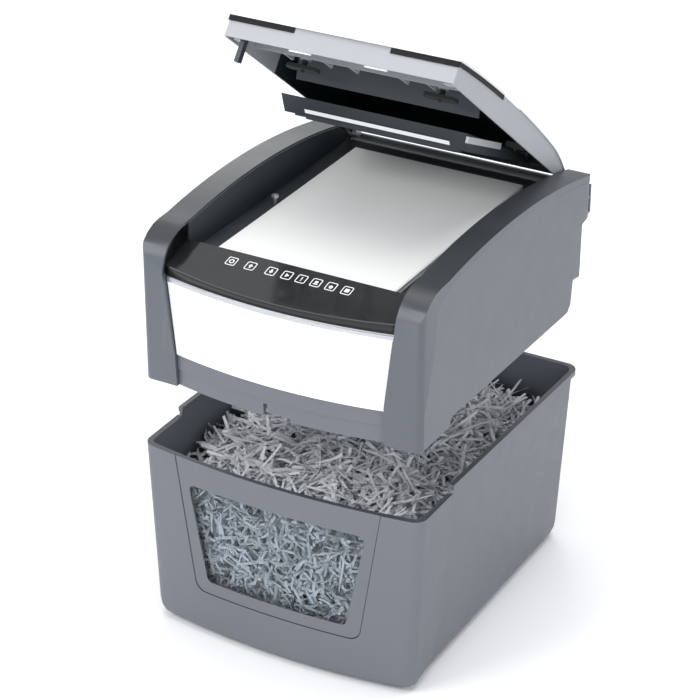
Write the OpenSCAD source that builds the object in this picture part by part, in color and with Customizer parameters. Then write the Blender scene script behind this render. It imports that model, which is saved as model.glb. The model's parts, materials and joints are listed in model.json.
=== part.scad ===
// Paper shredder with an automatic feed tray, a hinged lid and a pull-off head over a windowed bin.
// Z = 0 is the floor under the bin, the front faces -Y, and +X is to the right as seen from the front.
// The head is drawn above the plane where it splits from the bin, and the lid about its hinge.

/* [Whole machine] */
// Width of the bin across its rim
body_w = 342; // [320:1:420]
// Depth of the bin from its front corners to its back
body_d = 383; // [370:1:470]
// How far the middle of the front bulges beyond its corners
front_bulge = 15; // [8:1:20]
// Height of the head lifted off the bin
head_lift = 81; // [0:1:120]
// Angle of the lid above its closed place
lid_open = 37; // [0:1:42]
// Wall of the plastic shells
wall = 3; // [2:0.1:3.8]
// Gap between neighbouring shells
gap = 0.4; // [0.2:0.1:0.8]

/* [Bin] */
// Height of the bin at its front rim
bin_h = 220; // [180:1:280]
// How much each side leans in from rim to floor
bin_draft = 10; // [6:1:18]
// How far the side rim stands above the front rim
rim_step = 9; // [5:0.5:12]
// Distance of the rim's step and of the front shell's edge behind the front corners
collar_d = 66; // [50:1:90]
// Radius of the front corners
corner_r = 9; // [8:1:20]
// Radius of the back corners
back_r = 16; // [12:1:30]
// Half width of the window frame at its top
window_hw = 127; // [110:1:140]
// Half width of the clear pane at its top
pane_hw = 109; // [90:1:118]

/* [Head] */
// Height of the head's arched top above the split
arch_h = 180; // [172:1:210]
// Radius of the arch over each cheek
arch_r = 920; // [800:10:1200]
// How much narrower each side of the head is than the bin's rim
head_inset = 4; // [3:0.5:8]
// Width of each cheek
cheek_w = 30; // [28:0.5:36]
// Height of the tray floor above the split
tray_h = 136; // [134:0.5:150]
// Depth of the control panel behind the front corners
panel_d = 46; // [40:1:56]
// Half width of the white front panel at its top
front_hw = 134; // [120:1:136]

/* [Lid] */
// Slope of the closed lid
lid_pitch = 2; // [1:0.1:2.6]
// Depth of the lid frame at its front
lid_h = 26; // [20:1:30]
// Rise of the lid's middle above a straight line
lid_crown = 8; // [4:1:10]
// Radius of the lid's hinge pins
hinge_r = 4; // [3:0.5:5]

/* [Paper] */
// Width of the widest sheet that it takes
paper_w = 210; // [200:1:216]

/* [Cutters] */
// Radius of the cutting discs
disc_r = 22; // [20:0.5:23]
// Radius of the cutter shafts
shaft_r = 8; // [6:0.5:9]
// Pitch of the cutting discs along a shaft
disc_pitch = 6; // [5:0.5:8]
// Side clearance of a disc between two others
disc_clear = 0.2; // [0.1:0.05:0.4]
// Module of the gear teeth
gear_m = 2; // [1.8:0.05:2.1]
// Teeth on each cutter's gear
cutter_teeth = 19; // [19:1:20]
// Running clearance of shafts in their bores
run = 0.06; // [0.03:0.01:0.09]

/* [Hidden] */

$fn = 40;
eps = 0.02;

// Bin outline, placed so that the whole machine is centred on the origin
overhang = 28;
frame_sink = 0.6;
front_reach = front_bulge + wall - frame_sink;
bin_hw = body_w / 2 - 3;
y_front = (front_reach - body_d + 3 - overhang) / 2;
y_back = y_front + body_d - 3;
collar_y = y_front + collar_d;
rim_fall = 8;
foot_h = 2;

// Head outline
head_hw = body_w / 2 - head_inset;
head_back = y_back + overhang;
cheek_in = head_hw - cheek_w;
arch_y = -20;
arch_side = 45;
shoulder_y = y_front - front_bulge * (1 - pow(cheek_in / head_hw, 2)) - 0.5;
panel_y = y_front + panel_d;
tray_t = 2.5;
panel_z = 151;
panel_slope = 14 / 60;
housing_top = 126;
slot_hw = paper_w / 2 + 7;

// Cutter train: [y, z] of each axis above the split, and rotations that mesh the teeth
cutter_gap = gear_m * cutter_teeth;
cutter_z = 78;
front_at = [-cutter_gap / 2, cutter_z];
rear_at = [cutter_gap / 2, cutter_z];
cut_hw = min(slot_hw, cheek_in - 25);
plate_x = cut_hw + 4;
plate_thick = 3;
gear_x = plate_x + plate_thick + 2;
gear_w = 8;
train_x = gear_x + gear_w + 2;
small_teeth = 12;
big_teeth = 48;
big_m = 1.5;
idler_teeth = 15;
feed_teeth = 12;
reduction_at = rear_at + gear_m * (cutter_teeth + small_teeth) / 2 * [cos(-20.8), sin(-20.8)];
motor_at = reduction_at + big_m * (big_teeth + small_teeth) / 2 * [cos(-10), sin(-10)];
feed_at = [5, tray_h - 17];
roller_r = 18;
idler_at = meet(front_at, gear_m * (cutter_teeth + idler_teeth) / 2,
    feed_at, gear_m * (feed_teeth + idler_teeth) / 2);
rear_turn = 0;
front_turn = meshed(rear_turn, cutter_teeth, cutter_teeth, bearing(rear_at, front_at));
reduction_turn = meshed(rear_turn, cutter_teeth, small_teeth, bearing(rear_at, reduction_at));
pinion_turn = meshed(reduction_turn, big_teeth, small_teeth, bearing(reduction_at, motor_at));
idler_turn = meshed(front_turn, cutter_teeth, idler_teeth, bearing(front_at, idler_at));
feed_turn = meshed(idler_turn, idler_teeth, feed_teeth, bearing(idler_at, feed_at));
motor_r = 27;
throat_hw = cut_hw + 1;
throat_y = 40;
base_z = 12;
post_at = [-head_hw + 26, 110];
fan_at = [-head_hw + 52, 62];
fan_r = 28;

// Lid place: distances s run from the hinge towards the front edge
tray_side_t = 1.6;
hinge_y = y_back + 15.5;
hinge_z = 141.5;
tray_back = hinge_y - 12;
cover_top = 133;
lid_gap = 1.7;
lid_l = (hinge_y - panel_y - lid_gap) / cos(lid_pitch);
skin_up = 18;
skin_t = 2.2;
skin_tail = 9;
lid_hw = cheek_in - gap - tray_side_t - 0.6;
slot_w = 10;
slot_s = hinge_y - feed_at[0] + 20;
lid_skin_front = slot_s + slot_w / 2;
lid_recess = slot_s - 42;
pad_x = 82;
pad_s = lid_l - 92;
side_pad = [116, 112];
plate_x0 = 9 - lid_hw;
plate_x1 = lid_hw - 36;
pivot = [34, 8];
pivot_r = 3;
plate_s1 = slot_s - 6;
plate_lean = 17;
plate_top = -2;
plate_low = 17;
plate_drop = 42;
plate_swing = atan(plate_drop / (plate_s1 - pivot[0]));
pad_stem = 3;

// ---- Helpers ----

function unit(v) = v / norm(v);
function bearing(a, b) = atan2(b[1] - a[1], b[0] - a[0]);

// The turn of a gear of nb teeth that meshes with one of na teeth turned by ta, in direction phi from it
function meshed(ta, na, nb, phi) = phi + 180 - (0.5 - (phi - ta) * na / 360) * 360 / nb;

// The point at distances ra from a and rb from b, on the left of the way from a to b
function meet(a, ra, b, rb) =
    let (d = norm(b - a), u = (b - a) / d, k = (ra * ra - rb * rb + d * d) / (2 * d))
    a + k * u + sqrt(ra * ra - k * k) * [-u[1], u[0]];

// A polygon's corners rounded to the radii r, in steps of an arc
function rounded(p, r, n = 6) = [
    for (i = [0:len(p) - 1])
        let (b = p[i], u = unit(p[(i + len(p) - 1) % len(p)] - b), v = unit(p[(i + 1) % len(p)] - b),
            rad = is_list(r) ? r[i] : r, half = acos(u * v) / 2)
        each rad == 0 ? [b] :
            let (c = b + unit(u + v) * rad / sin(half), t = rad / tan(half),
                a0 = bearing(c, b + u * t), turn = (bearing(c, b + v * t) - a0 + 540) % 360 - 180)
            [for (k = [0:n]) c + rad * [cos(a0 + turn * k / n), sin(a0 + turn * k / n)]]
];

// Plan outline whose front edge bulges: half width, front and back edges, corner radii
function bulged(p, hw, sag) = [p[0], p[1] - sag * (1 - pow(p[0] / hw, 2))];
function plan_outline(hw, yf, yb, sag, rf, rb) = concat(
    [for (i = [0:16]) bulged([(hw - rf) * (i / 8 - 1), yf], hw, sag)],
    [for (i = [1:5]) bulged([hw - rf + rf * sin(i * 18), yf + rf - rf * cos(i * 18)], hw, sag)],
    [for (i = [0:6]) [hw - rb + rb * cos(i * 15), yb - rb + rb * sin(i * 15)]],
    [for (i = [0:6]) [rb - hw - rb * sin(i * 15), yb - rb + rb * cos(i * 15)]],
    [for (i = [0:4]) bulged([rf - hw - rf * cos(i * 18), yf + rf - rf * sin(i * 18)], hw, sag)]);

// A (y, z) outline drawn out along x, and an (x, z) outline drawn out along y
module along_x(x0, x1) {
    translate([x0, 0, 0]) rotate([90, 0, 90]) linear_extrude(x1 - x0) children();
}
module along_y(y0, y1) {
    translate([0, y1, 0]) rotate([90, 0, 0]) linear_extrude(y1 - y0) children();
}
module rod_x(at, x0, x1, r) {
    translate([x0, at[0], at[1]]) rotate([0, 90, 0]) cylinder(r = r, h = x1 - x0);
}
module bored_x(at, x0, x1, r, bore) {
    difference() {
        rod_x(at, x0, x1, r);
        rod_x(at, x0 - 1, x1 + 1, bore);
    }
}
module block(x, y, z) {
    translate([x[0], y[0], z[0]]) cube([x[1] - x[0], y[1] - y[0], z[1] - z[0]]);
}
module both_sides() {
    children();
    mirror([1, 0, 0]) children();
}
module head_place() {
    translate([0, 0, bin_h + head_lift]) children();
}
module lid_place() {
    head_place() translate([0, hinge_y, hinge_z]) rotate([-lid_pitch - lid_open, 0, 0]) children();
}

// Involute spur gear in the (y, z) plane, from x0 to x1
module gear(at, turn, teeth, m, x0, x1, bore) {
    r = m * teeth / 2;
    base = r * cos(20);
    root = r - 1.15 * m;
    tip = r + 0.8 * m;
    slack = 0.16 / r * 180 / PI;
    inv0 = tan(20) * 180 / PI - 20;
    steps = [root, max(base, root + 0.1), (max(base, root) + tip) / 2, tip];
    flank = [for (q = steps) let (al = acos(min(1, base / q)))
        [q, 90 / teeth - slack + inv0 - (tan(al) * 180 / PI - al)]];
    points = [for (k = [0:teeth - 1]) each concat(
        [for (f = flank) f[0] * [cos(k * 360 / teeth - f[1]), sin(k * 360 / teeth - f[1])]],
        [for (i = [3:-1:0]) let (f = flank[i])
            f[0] * [cos(k * 360 / teeth + f[1]), sin(k * 360 / teeth + f[1])]])];
    difference() {
        translate([x0, at[0], at[1]]) rotate([90, 0, 90]) rotate(turn) linear_extrude(x1 - x0)
            polygon(points);
        if (bore > 0) rod_x(at, x0 - 1, x1 + 1, bore);
    }
}

// ---- Bin ----

// The bin's drafted outside, grown by g, between heights z0 and z1
module bin_form(g, z0, z1) {
    levels = [for (q = [[0, 12], [0.1, 6], [0.3, 2.4], [0.6, 0.6], [1, 0]]) [z0 + q[0] * 20, q[1]]];
    hull() {
        for (q = concat(levels, [[z1, 0]]))
            translate([0, 0, q[0]]) linear_extrude(eps)
                polygon(plan_outline(bin_hw - bin_draft * (1 - q[0] / bin_h) + g - q[1],
                    y_front - g + q[1], y_back - 9 * (1 - q[0] / bin_h) + g - q[1],
                    front_bulge, corner_r + g, back_r + g));
    }
}

// The rim is level at the front, steps up, and then falls a little to the back
function rim_at(y) = rim_step - rim_fall * (y - collar_y - 2) / (y_back - collar_y);
function rim_line(drop) = [[y_front - 40, bin_h - drop], [collar_y - 2, bin_h - drop],
    [collar_y + 2, bin_h + rim_step - drop], [y_back + 20, bin_h + rim_at(y_back + 20) - drop]];
module under_rim(drop) {
    along_x(-body_w, body_w)
        polygon(concat([[y_back + 20, -20], [y_front - 40, -20]], rim_line(drop)));
}

function window_outline(grow) = rounded([[-window_hw - grow, bin_h + 4], [-window_hw + 25 - grow, 57 - grow],
    [window_hw - 25 + grow, 57 - grow], [window_hw + grow, bin_h + 4]], [0, 14, 14, 0]);
function pane_outline(grow) = rounded([[-pane_hw - grow, 189 + grow], [-pane_hw + 23 - grow, 73 - grow],
    [pane_hw - 23 + grow, 73 - grow], [pane_hw + grow, 189 + grow]], 7);
module window_solid(grow) {
    along_y(y_front - 40, y_front + 30) polygon(window_outline(grow));
}
module pane_solid(grow) {
    along_y(y_front - 40, y_front + 30) polygon(pane_outline(grow));
}

module bin_tub() {
    color([0.50, 0.52, 0.55]) difference() {
        intersection() {
            union() {
                bin_form(0, foot_h, bin_h + rim_step + 2);
                translate([0, 0, bin_h - 10]) linear_extrude(rim_step + 12)
                    polygon(plan_outline(body_w / 2, y_front + 3, y_back + 3, 0, corner_r, back_r));
            }
            union() {
                under_rim(6);
                intersection() {
                    under_rim(0);
                    block([-body_w, body_w], [collar_y + 2, y_back + 20], [-1, 2 * bin_h]);
                }
                intersection() {
                    under_rim(0);
                    bin_form(0, foot_h, bin_h + rim_step + 2);
                }
            }
            union() {
                bin_form(0, foot_h, bin_h + rim_step + 2);
                difference() {
                    under_rim(0);
                    under_rim(6);
                }
            }
        }
        bin_hollow();
        pane_solid(6);
    }
}

// The front shell wraps the tub's front and sides, and its back edge leans with the collar
module bin_front_shell() {
    color([0.47, 0.49, 0.53]) difference() {
        intersection() {
            bin_form(wall, foot_h, bin_h + 2);
            along_x(-body_w, body_w)
                polygon(rounded([[y_front - 40, foot_h - 1], [y_front + 6, foot_h - 1], [y_front + 20, 14],
                    [collar_y - 23, 24], [collar_y - 9, 100], [collar_y, bin_h], [y_front - 40, bin_h]],
                    [0, 2, 6, 5, 30, 0, 0]));
        }
        bin_form(gap, foot_h, bin_h + 8);
        window_solid(0);
    }
}

module window_frame() {
    color([0.45, 0.47, 0.50]) intersection() {
        difference() {
            bin_form(wall - frame_sink, foot_h, bin_h + 2);
            bin_form(gap, foot_h, bin_h + 8);
            pane_solid(gap);
        }
        window_solid(-0.8);
        block([-body_w, body_w], [y_front - 40, y_front + 20], [0, bin_h]);
    }
}

module bin_window() {
    color([0.75, 0.78, 0.80, 0.4]) intersection() {
        difference() {
            bin_form(wall - 0.9, foot_h, bin_h + 2);
            bin_form(gap, foot_h, bin_h + 8);
        }
        pane_solid(0);
    }
}

module bin_feet() {
    color([0.1, 0.1, 0.1]) for (x = [-1, 1], y = [y_front + 45, y_back - 48])
        translate([x * (bin_hw - bin_draft - 34), y, 0]) cylinder(r = 11, h = foot_h);
}

module bin_hollow() {
    translate([0, 0, wall]) bin_form(-wall, foot_h, bin_h + rim_step + 6);
}
module interlock_post() {
    color([0.35, 0.36, 0.38]) intersection() {
        translate([post_at[0], post_at[1], bin_h - 70]) union() {
            block([-4, 4], [-4, 4], [0, 77.7]);
            block([-60, -3], [-2, 2], [0, 60]);
        }
        bin_hollow();
    }
}

// ---- Head casing ----

// The height of the arch at y, and the side profile of the casing inset by g
function arch_at(y, g = 0) = arch_h - arch_r + sqrt(pow(arch_r - g, 2) - pow(y - arch_y, 2));
function profile(g) = rounded(concat(
    [[shoulder_y + g + 4, 0], [shoulder_y + g + 1.5, 41], [shoulder_y + g, 44],
        [shoulder_y + g, arch_at(shoulder_y + arch_side) - g]],
    [for (y = [shoulder_y + 60:24:head_back - 20]) [y, arch_at(y, g)]],
    [[head_back - g, arch_at(head_back, g)], [head_back - g, 103 + g], [y_back, 99 + g],
        [y_back - 1 - g, 35 + g], [y_back - 18 - g, 38 + g], [y_back - 22 - g, 8]]),
    concat([0, 0, 0, arch_side - g], [for (y = [shoulder_y + 60:24:head_back - 20]) 0],
        [10 - min(g, 8), 3, 3, 2, 2, 2]));
function side_foot(g) = [[y_back - 30, rim_at(y_back - 30) + g], [collar_y + 2, rim_step + g],
    [collar_y - 2 - g, 0]];

// The groove between a cheek and its side panel
groove = [[shoulder_y + 12, 0], [shoulder_y + 12, 42], [shoulder_y + 33, 107], [shoulder_y + 37, 147],
    [shoulder_y + 62, arch_at(shoulder_y + 62) - 9]];

module casing(g) {
    intersection() {
        along_x(-head_hw + g, head_hw - g) polygon(concat(profile(g), side_foot(g)));
        translate([0, 0, -1]) linear_extrude(arch_h + 20)
            polygon(plan_outline(head_hw - g, y_front + g, head_back + 1, front_bulge,
                corner_r - min(g, 4), 18));
    }
}
// The region outside the groove line: the front leg and the cap over the arch
module cheek_region(x0, x1, g) {
    along_x(x0, x1) difference() {
        polygon([[-400, -5], [400, -5], [400, 400], [-400, 400]]);
        polygon(concat([for (p = groove) p + [g, -g]],
            [for (y = [shoulder_y + 80:24:head_back + 20]) [y, arch_at(y) - 8 - g]],
            [[400, arch_at(head_back + 20) - 8 - g], [400, -6], [groove[0][0] + g, -6]]));
    }
}

// A leg's inner edge leans in towards its foot, beside the front panel
function leg_in(z) = front_hw - 10 + gap + 10 * max(0, z - 39) / 83 + 1;
module leg_mask(grow) {
    along_y(-400, 400) polygon([[leg_in(0) + grow, 0], [leg_in(39) + grow, 39], [leg_in(122) + grow, 122],
        [cheek_in + grow, 129], [cheek_in + grow, 400], [400, 400], [400, 0]]);
}
module right_cheek_form() {
    intersection() {
        union() {
            difference() {
                casing(0);
                casing(wall);
            }
            difference() {
                intersection() {
                    casing(0);
                    block([0, 400], [-400, y_front + 10], [0, 130]);
                }
                leg_mask(2.6);
            }
        }
        cheek_region(0, head_hw + 1, 0);
        leg_mask(0);
    }
}
module left_cheek() {
    color([0.33, 0.35, 0.38]) head_place() mirror([1, 0, 0]) right_cheek_form();
}
module right_cheek() {
    color([0.33, 0.35, 0.38]) head_place() right_cheek_form();
}

module side_panel(side) {
    x0 = side > 0 ? head_hw - wall : -head_hw - 1;
    difference() {
        intersection() {
            casing(0.6);
            block([x0, x0 + wall + 1], [-400, head_back], [0, arch_h]);
        }
        cheek_region(-400, 400, 0.5);
    }
}
module left_side_panel() {
    color([0.47, 0.49, 0.52]) head_place() side_panel(-1);
}
module right_side_panel() {
    color([0.47, 0.49, 0.52]) head_place() side_panel(1);
}

// The front's own curve, and a slab from inset a to inset b behind it between heights z0 and z1
function front_at_x(x) = y_front - front_bulge * (1 - pow(x / front_hw, 2));
module front_slab(a, b, z0, z1, hw0, hw1) {
    xs = [for (i = [-12:12]) i / 12 * cheek_in];
    intersection() {
        translate([0, 0, z0]) linear_extrude(z1 - z0) polygon(concat([for (x = xs) [x, front_at_x(x) + a]],
            [for (x = xs) [-x, front_at_x(x) + b]]));
        along_y(y_front - 40, y_front + 40) polygon([[-hw0, z0], [hw0, z0], [hw1, z1], [-hw1, z1]]);
    }
}

module front_housing() {
    inner_hw = cheek_in - gap;
    color([0.50, 0.52, 0.54]) head_place() difference() {
        union() {
            front_slab(6.5, 9.5, 0.5, housing_top, leg_in(0) - gap, inner_hw);
            front_slab(3, 7, 20, 38.4, leg_in(20) - gap, leg_in(38.4) - gap);
            front_slab(4.5, 7, 0.5, 20.5, leg_in(0) - gap, leg_in(20) - gap);
        }
        both_sides() leg_mask(-gap);
        block([-13, -8], [y_front - 40, y_front + 20], [-1, 15]);
        block([-8, 19], [y_front - 40, y_front + 20], [-1, 5]);
    }
}

module front_panel() {
    color([0.95, 0.96, 0.97]) head_place() front_slab(0.6, 6.1, 39, 122, front_hw - 10, front_hw);
}

module trim_strip() {
    color([0.72, 0.73, 0.74]) head_place() union() {
        front_slab(0, 6.1, 122.4, 126.4, front_hw, front_hw + 0.6);
        front_slab(1, 6.1, 126.4, 128, front_hw + 0.6, front_hw + 0.8);
    }
}

// The gloss control panel slopes down to a front lip over the trim strip
function panel_at(y) = panel_z - (panel_y - y) * panel_slope;
module control_panel() {
    color([0.12, 0.12, 0.13]) head_place() intersection() {
        union() {
            along_x(-cheek_in + gap, cheek_in - gap)
                polygon([[panel_y, panel_at(panel_y)], [panel_y - 90, panel_at(panel_y - 90)],
                    [panel_y - 90, panel_at(panel_y - 90) - wall], [panel_y, panel_at(panel_y) - wall]]);
            front_slab(1, 4, 128.4, panel_at(y_front + 4), cheek_in - gap, cheek_in - gap);
            block([-cheek_in + gap, cheek_in - gap], [panel_y - 2.4, panel_y],
                [tray_h + 10, panel_at(panel_y)]);
        }
        linear_extrude(arch_h) polygon(concat([[cheek_in, head_back], [-cheek_in, head_back]],
            [for (i = [-12:12]) let (x = i / 12 * cheek_in) [x, front_at_x(x) + 1]]));
        along_x(-400, 400) polygon([[-400, 0], [panel_y, 0], [panel_y, panel_at(panel_y)],
            [-400, panel_at(-400)]]);
    }
}

module touch_board() {
    color([0.10, 0.32, 0.20]) head_place() block([-86, 78], [y_front + 12, panel_y - 6], [129.4, 131]);
}

// Tray between the cheeks: a floor with a throat over the rollers, side walls and a back wall
module paper_tray() {
    hw = cheek_in - gap;
    color([0.18, 0.21, 0.24]) head_place() difference() {
        intersection() {
            union() {
                block([-hw, hw], [panel_y - 12, tray_back], [tray_h - tray_t, tray_h]);
                for (x = [-hw, hw - tray_side_t])
                    block([x, x + tray_side_t], [panel_y + gap, tray_back], [tray_h - 1, arch_h]);
                block([-hw, hw], [tray_back - 2, tray_back], [cover_top - tray_t, tray_h + 1.5]);
                block([-hw, hw], [tray_back - 1, head_back - 4.6], [cover_top - tray_t, cover_top]);
            }
            along_x(-400, 400) polygon(concat([[head_back, 0], [-400, 0], [-400, arch_h - 20]],
                [for (y = [panel_y:20:tray_back - 14]) [y, arch_at(y) - 1.4]],
                [[tray_back, tray_h + 8], [head_back, tray_h + 8]]));
        }
        block([-slot_hw, slot_hw], [feed_at[0] - roller_r - 9, feed_at[0] + roller_r + 4],
            [tray_h - 10, tray_h + 5]);
        block([-118, -110], [tongue_y() - 8, tongue_y() + 8], [tray_h - 10, tray_h + 5]);
    }
}
function tongue_y() = hinge_y - (lid_l - 12) * cos(lid_pitch);

module sensor_post() {
    color([0.35, 0.38, 0.40]) head_place() translate([-cheek_in + 22, -7, tray_h]) union() {
        cylinder(r = 2, h = 14);
        translate([0, 0, 10.5]) cylinder(r = 4, h = 2.5);
    }
}

// Back shell, with vent slots and seats for the inlet and the rocker switch
module rear_cover() {
    hw = head_hw - wall - gap;
    outer = [[y_back - 23, 9], [y_back - 19, 38.6], [y_back - 1.6, 36], [y_back - 0.6, 99],
        [head_back - 1, 103.6], [head_back - 1, cover_top + 4]];
    inner = [[head_back - 4, cover_top + 4], [head_back - 4, 106.4], [y_back - 3.6, 102],
        [y_back - 4.6, 39], [y_back - 21.8, 41.8], [y_back - 26, 9]];
    color([0.42, 0.44, 0.47]) head_place() difference() {
        along_x(-hw, hw) polygon(concat(outer, inner));
        for (i = [-7:7])
            block([i * 9 - 2.5, i * 9 + 2.5], [y_back - 14, y_back + 6], [48, 84]);
        block([-head_hw + 30, -head_hw + 58], [y_back - 14, y_back + 6], [50, 70]);
        block([head_hw - 58, head_hw - 44], [y_back - 14, y_back + 6], [50, 72]);
    }
}

// Mains inlet: a body with a sunk socket and three blades
module power_inlet() {
    x = -head_hw + 44;
    color([0.08, 0.08, 0.09]) head_place() difference() {
        union() {
            block([x - 13.6, x + 13.6], [y_back - 26, y_back + 1], [50.4, 69.6]);
            for (i = [-1:1]) block([x + i * 7 - 1, x + i * 7 + 1], [y_back - 30, y_back - 20], [57, 63]);
        }
        difference() {
            block([x - 11.5, x + 11.5], [y_back - 16, y_back + 2], [52.5, 67.5]);
            for (i = [-1:1]) block([x + i * 7 - 1, x + i * 7 + 1], [y_back - 17, y_back - 2], [57, 63]);
        }
    }
}

rocker_at = [y_back - 1.5, 61];
rocker_pin_in = 3;
rocker_pin_r = 1.5;
module rocker_switch() {
    color([0.1, 0.1, 0.1]) head_place() difference() {
        along_x(head_hw - 57, head_hw - 45)
            polygon([[rocker_at[0] - 7, 53], [rocker_at[0] + 2.6, 52], [rocker_at[0] + 1, rocker_at[1]],
                [rocker_at[0] + 2.6, 70], [rocker_at[0] - 7, 69]]);
        rod_x([rocker_at[0] - rocker_pin_in, rocker_at[1]], head_hw - 58, head_hw - 44, rocker_pin_r);
    }
}

// Chassis pan inside the bin's rim, with the shred throat and a hole for the interlock plunger
module head_base() {
    hw = head_hw - wall - gap;
    y0 = y_front + 10;
    y1 = y_back - 27;
    color([0.36, 0.38, 0.41]) head_place() difference() {
        union() {
            block([-hw, hw], [y0, y1], [base_z, base_z + wall]);
            block([-throat_hw - 3, throat_hw + 3], [-throat_y - 3, throat_y + 3], [2, base_z + 1]);
        }
        block([-throat_hw, throat_hw], [-throat_y, throat_y], [-2, base_z + 10]);
        translate([post_at[0], post_at[1], 0]) cylinder(r = 3 + 0.4, h = 40);
        screw_places() cylinder(r = 2.05, h = 40);
    }
}
module screw_places() {
    for (x = [-1, 1], y = [y_front + 30, y_back - 40]) translate([x * (head_hw - 22), y, 0]) children();
}

module hinge_brackets() {
    x1 = cheek_in + 16;
    color([0.45, 0.46, 0.48]) head_place() both_sides() difference() {
        union() {
            along_x(cheek_in + 4, x1) polygon([[hinge_y - 12, hinge_z - 20], [hinge_y + 7, hinge_z - 20],
                [hinge_y + 7, hinge_z + 2], [hinge_y + 3, hinge_z + 6], [hinge_y - 7, hinge_z + 6],
                [hinge_y - 12, hinge_z]]);
            block([cheek_in + 4, head_hw - wall], [hinge_y - 12, hinge_y + 7],
                [hinge_z - 20, hinge_z - 16]);
        }
        rod_x([hinge_y, hinge_z], cheek_in, x1 + 2, hinge_r + run);
    }
}

module casing_screws() {
    color([0.6, 0.6, 0.62]) head_place() screw_places() translate([0, 0, base_z - 2]) union() {
        cylinder(r = 4, h = 2);
        translate([0, 0, 2]) cylinder(r = 2, h = wall + eps);
    }
}

// ---- Cutting works ----

module frame_plate(x0, back) {
    difference() {
        along_x(x0, x0 + plate_thick) polygon([[-48, base_z + wall], [back, base_z + wall], [back, 92],
            [56, 100], [24, tray_h - tray_t - 1], [-34, tray_h - tray_t - 1], [-48, 108]]);
        rod_x(front_at, x0 - 1, x0 + 5, shaft_r + 5);
        rod_x(rear_at, x0 - 1, x0 + 5, shaft_r + 5);
        rod_x(feed_at, x0 - 1, x0 + 5, 5 + run);
        rod_x(idler_at, x0 - 1, x0 + 5, 3 + run);
        if (back > 70) {
            rod_x(reduction_at, x0 - 1, x0 + 5, 5 + run);
            rod_x(motor_at, x0 - 1, x0 + 5, 4 + run);
        }
        for (at = rod_places) rod_x(at, x0 - 1, x0 + 5, 4);
    }
}
rod_places = [[-42, 30], [50, 26], [-42, 98]];
module left_frame_plate() {
    color([0.62, 0.63, 0.65]) head_place() frame_plate(-plate_x - plate_thick, 62);
}
module right_frame_plate() {
    color([0.62, 0.63, 0.65]) head_place() frame_plate(plate_x, motor_at[0] + motor_r + 6);
}
module tie_rods() {
    color([0.7, 0.7, 0.72]) head_place() for (at = rod_places)
        rod_x(at, -plate_x - plate_thick, plate_x + plate_thick, 4);
}
module cutter_bearings() {
    color([0.72, 0.58, 0.30]) head_place() for (at = [front_at, rear_at]) {
        bored_x(at, plate_x, plate_x + plate_thick, shaft_r + 5, shaft_r + run);
        bored_x(at, -plate_x - plate_thick, -plate_x, shaft_r + 5, shaft_r + run);
    }
}

// A cutter: discs on a shaft, the two stacks half a pitch apart so that they pass between each other
module cutter(at, shift, x1) {
    disc_t = disc_pitch / 2 - disc_clear;
    count = floor((2 * cut_hw - 8) / disc_pitch) - 1;
    union() {
        rod_x(at, -plate_x - plate_thick - 1.5, x1, shaft_r);
        for (i = [0:count - 1]) {
            x = (i - (count - 1) / 2) * disc_pitch + shift;
            rod_x(at, x - disc_t / 2, x + disc_t / 2, disc_r);
        }
    }
}
module front_cutter() {
    color([0.66, 0.66, 0.68]) head_place() cutter(front_at, -disc_pitch / 4, gear_x + gear_w);
}
module rear_cutter() {
    color([0.66, 0.66, 0.68]) head_place() cutter(rear_at, disc_pitch / 4, gear_x + gear_w);
}
module front_cutter_gear() {
    color([0.75, 0.72, 0.62]) head_place()
        gear(front_at, front_turn, cutter_teeth, gear_m, gear_x, gear_x + gear_w, shaft_r);
}
module rear_cutter_gear() {
    color([0.75, 0.72, 0.62]) head_place()
        gear(rear_at, rear_turn, cutter_teeth, gear_m, gear_x, gear_x + gear_w, shaft_r);
}

// Fingers on two bars strip the shreds out of the gaps between the discs
module stripper_combs() {
    finger_t = disc_pitch / 2 - 2 * disc_clear - 0.6;
    count = floor((2 * cut_hw - 8) / disc_pitch) - 1;
    color([0.25, 0.26, 0.28]) head_place() for (side = [-1, 1]) union() {
        y_in = side * (cutter_gap / 2 + shaft_r + 0.8);
        y_out = side * (cutter_gap / 2 + disc_r + 4);
        y_bar = side * (cutter_gap / 2 + disc_r + 1);
        block([-plate_x + eps, plate_x - eps], [min(y_bar, y_out), max(y_bar, y_out)],
            [cutter_z - 8, cutter_z + 8]);
        for (i = [0:count - 2]) {
            x = (i + 0.5 - (count - 1) / 2) * disc_pitch + side * disc_pitch / 4;
            block([x - finger_t / 2, x + finger_t / 2], [min(y_in, y_out), max(y_in, y_out)],
                [cutter_z - 3, cutter_z + 3]);
        }
    }
}

// Compound gear: the motor's pinion turns the wide one, and the small one turns the rear cutter
module reduction_gear() {
    color([0.85, 0.84, 0.78]) head_place() union() {
        gear(reduction_at, reduction_turn, small_teeth, gear_m, gear_x, train_x, 0);
        gear(reduction_at, reduction_turn, big_teeth, big_m, train_x, train_x + gear_w, 0);
        rod_x(reduction_at, plate_x, train_x + gear_w + 5, 5);
    }
}
module gearbox_plate() {
    x0 = train_x + gear_w + 2;
    color([0.6, 0.61, 0.63]) head_place() difference() {
        union() {
            along_x(x0, x0 + 2.5) polygon([[-30, 30], [motor_at[0] + 14, 24], [motor_at[0] + 14, 84],
                [60, 112], [-30, 100]]);
            for (at = gearbox_posts) rod_x(at, plate_x + plate_thick, x0 + eps, 3);
        }
        rod_x(reduction_at, x0 - 1, x0 + 5, 5 + run);
        rod_x(motor_at, x0 - 1, x0 + 5, 4 + run);
    }
}
gearbox_posts = [[-26, 34], [8, 34], [motor_at[0] + 10, 30], [motor_at[0] + 10, 80]];

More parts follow.
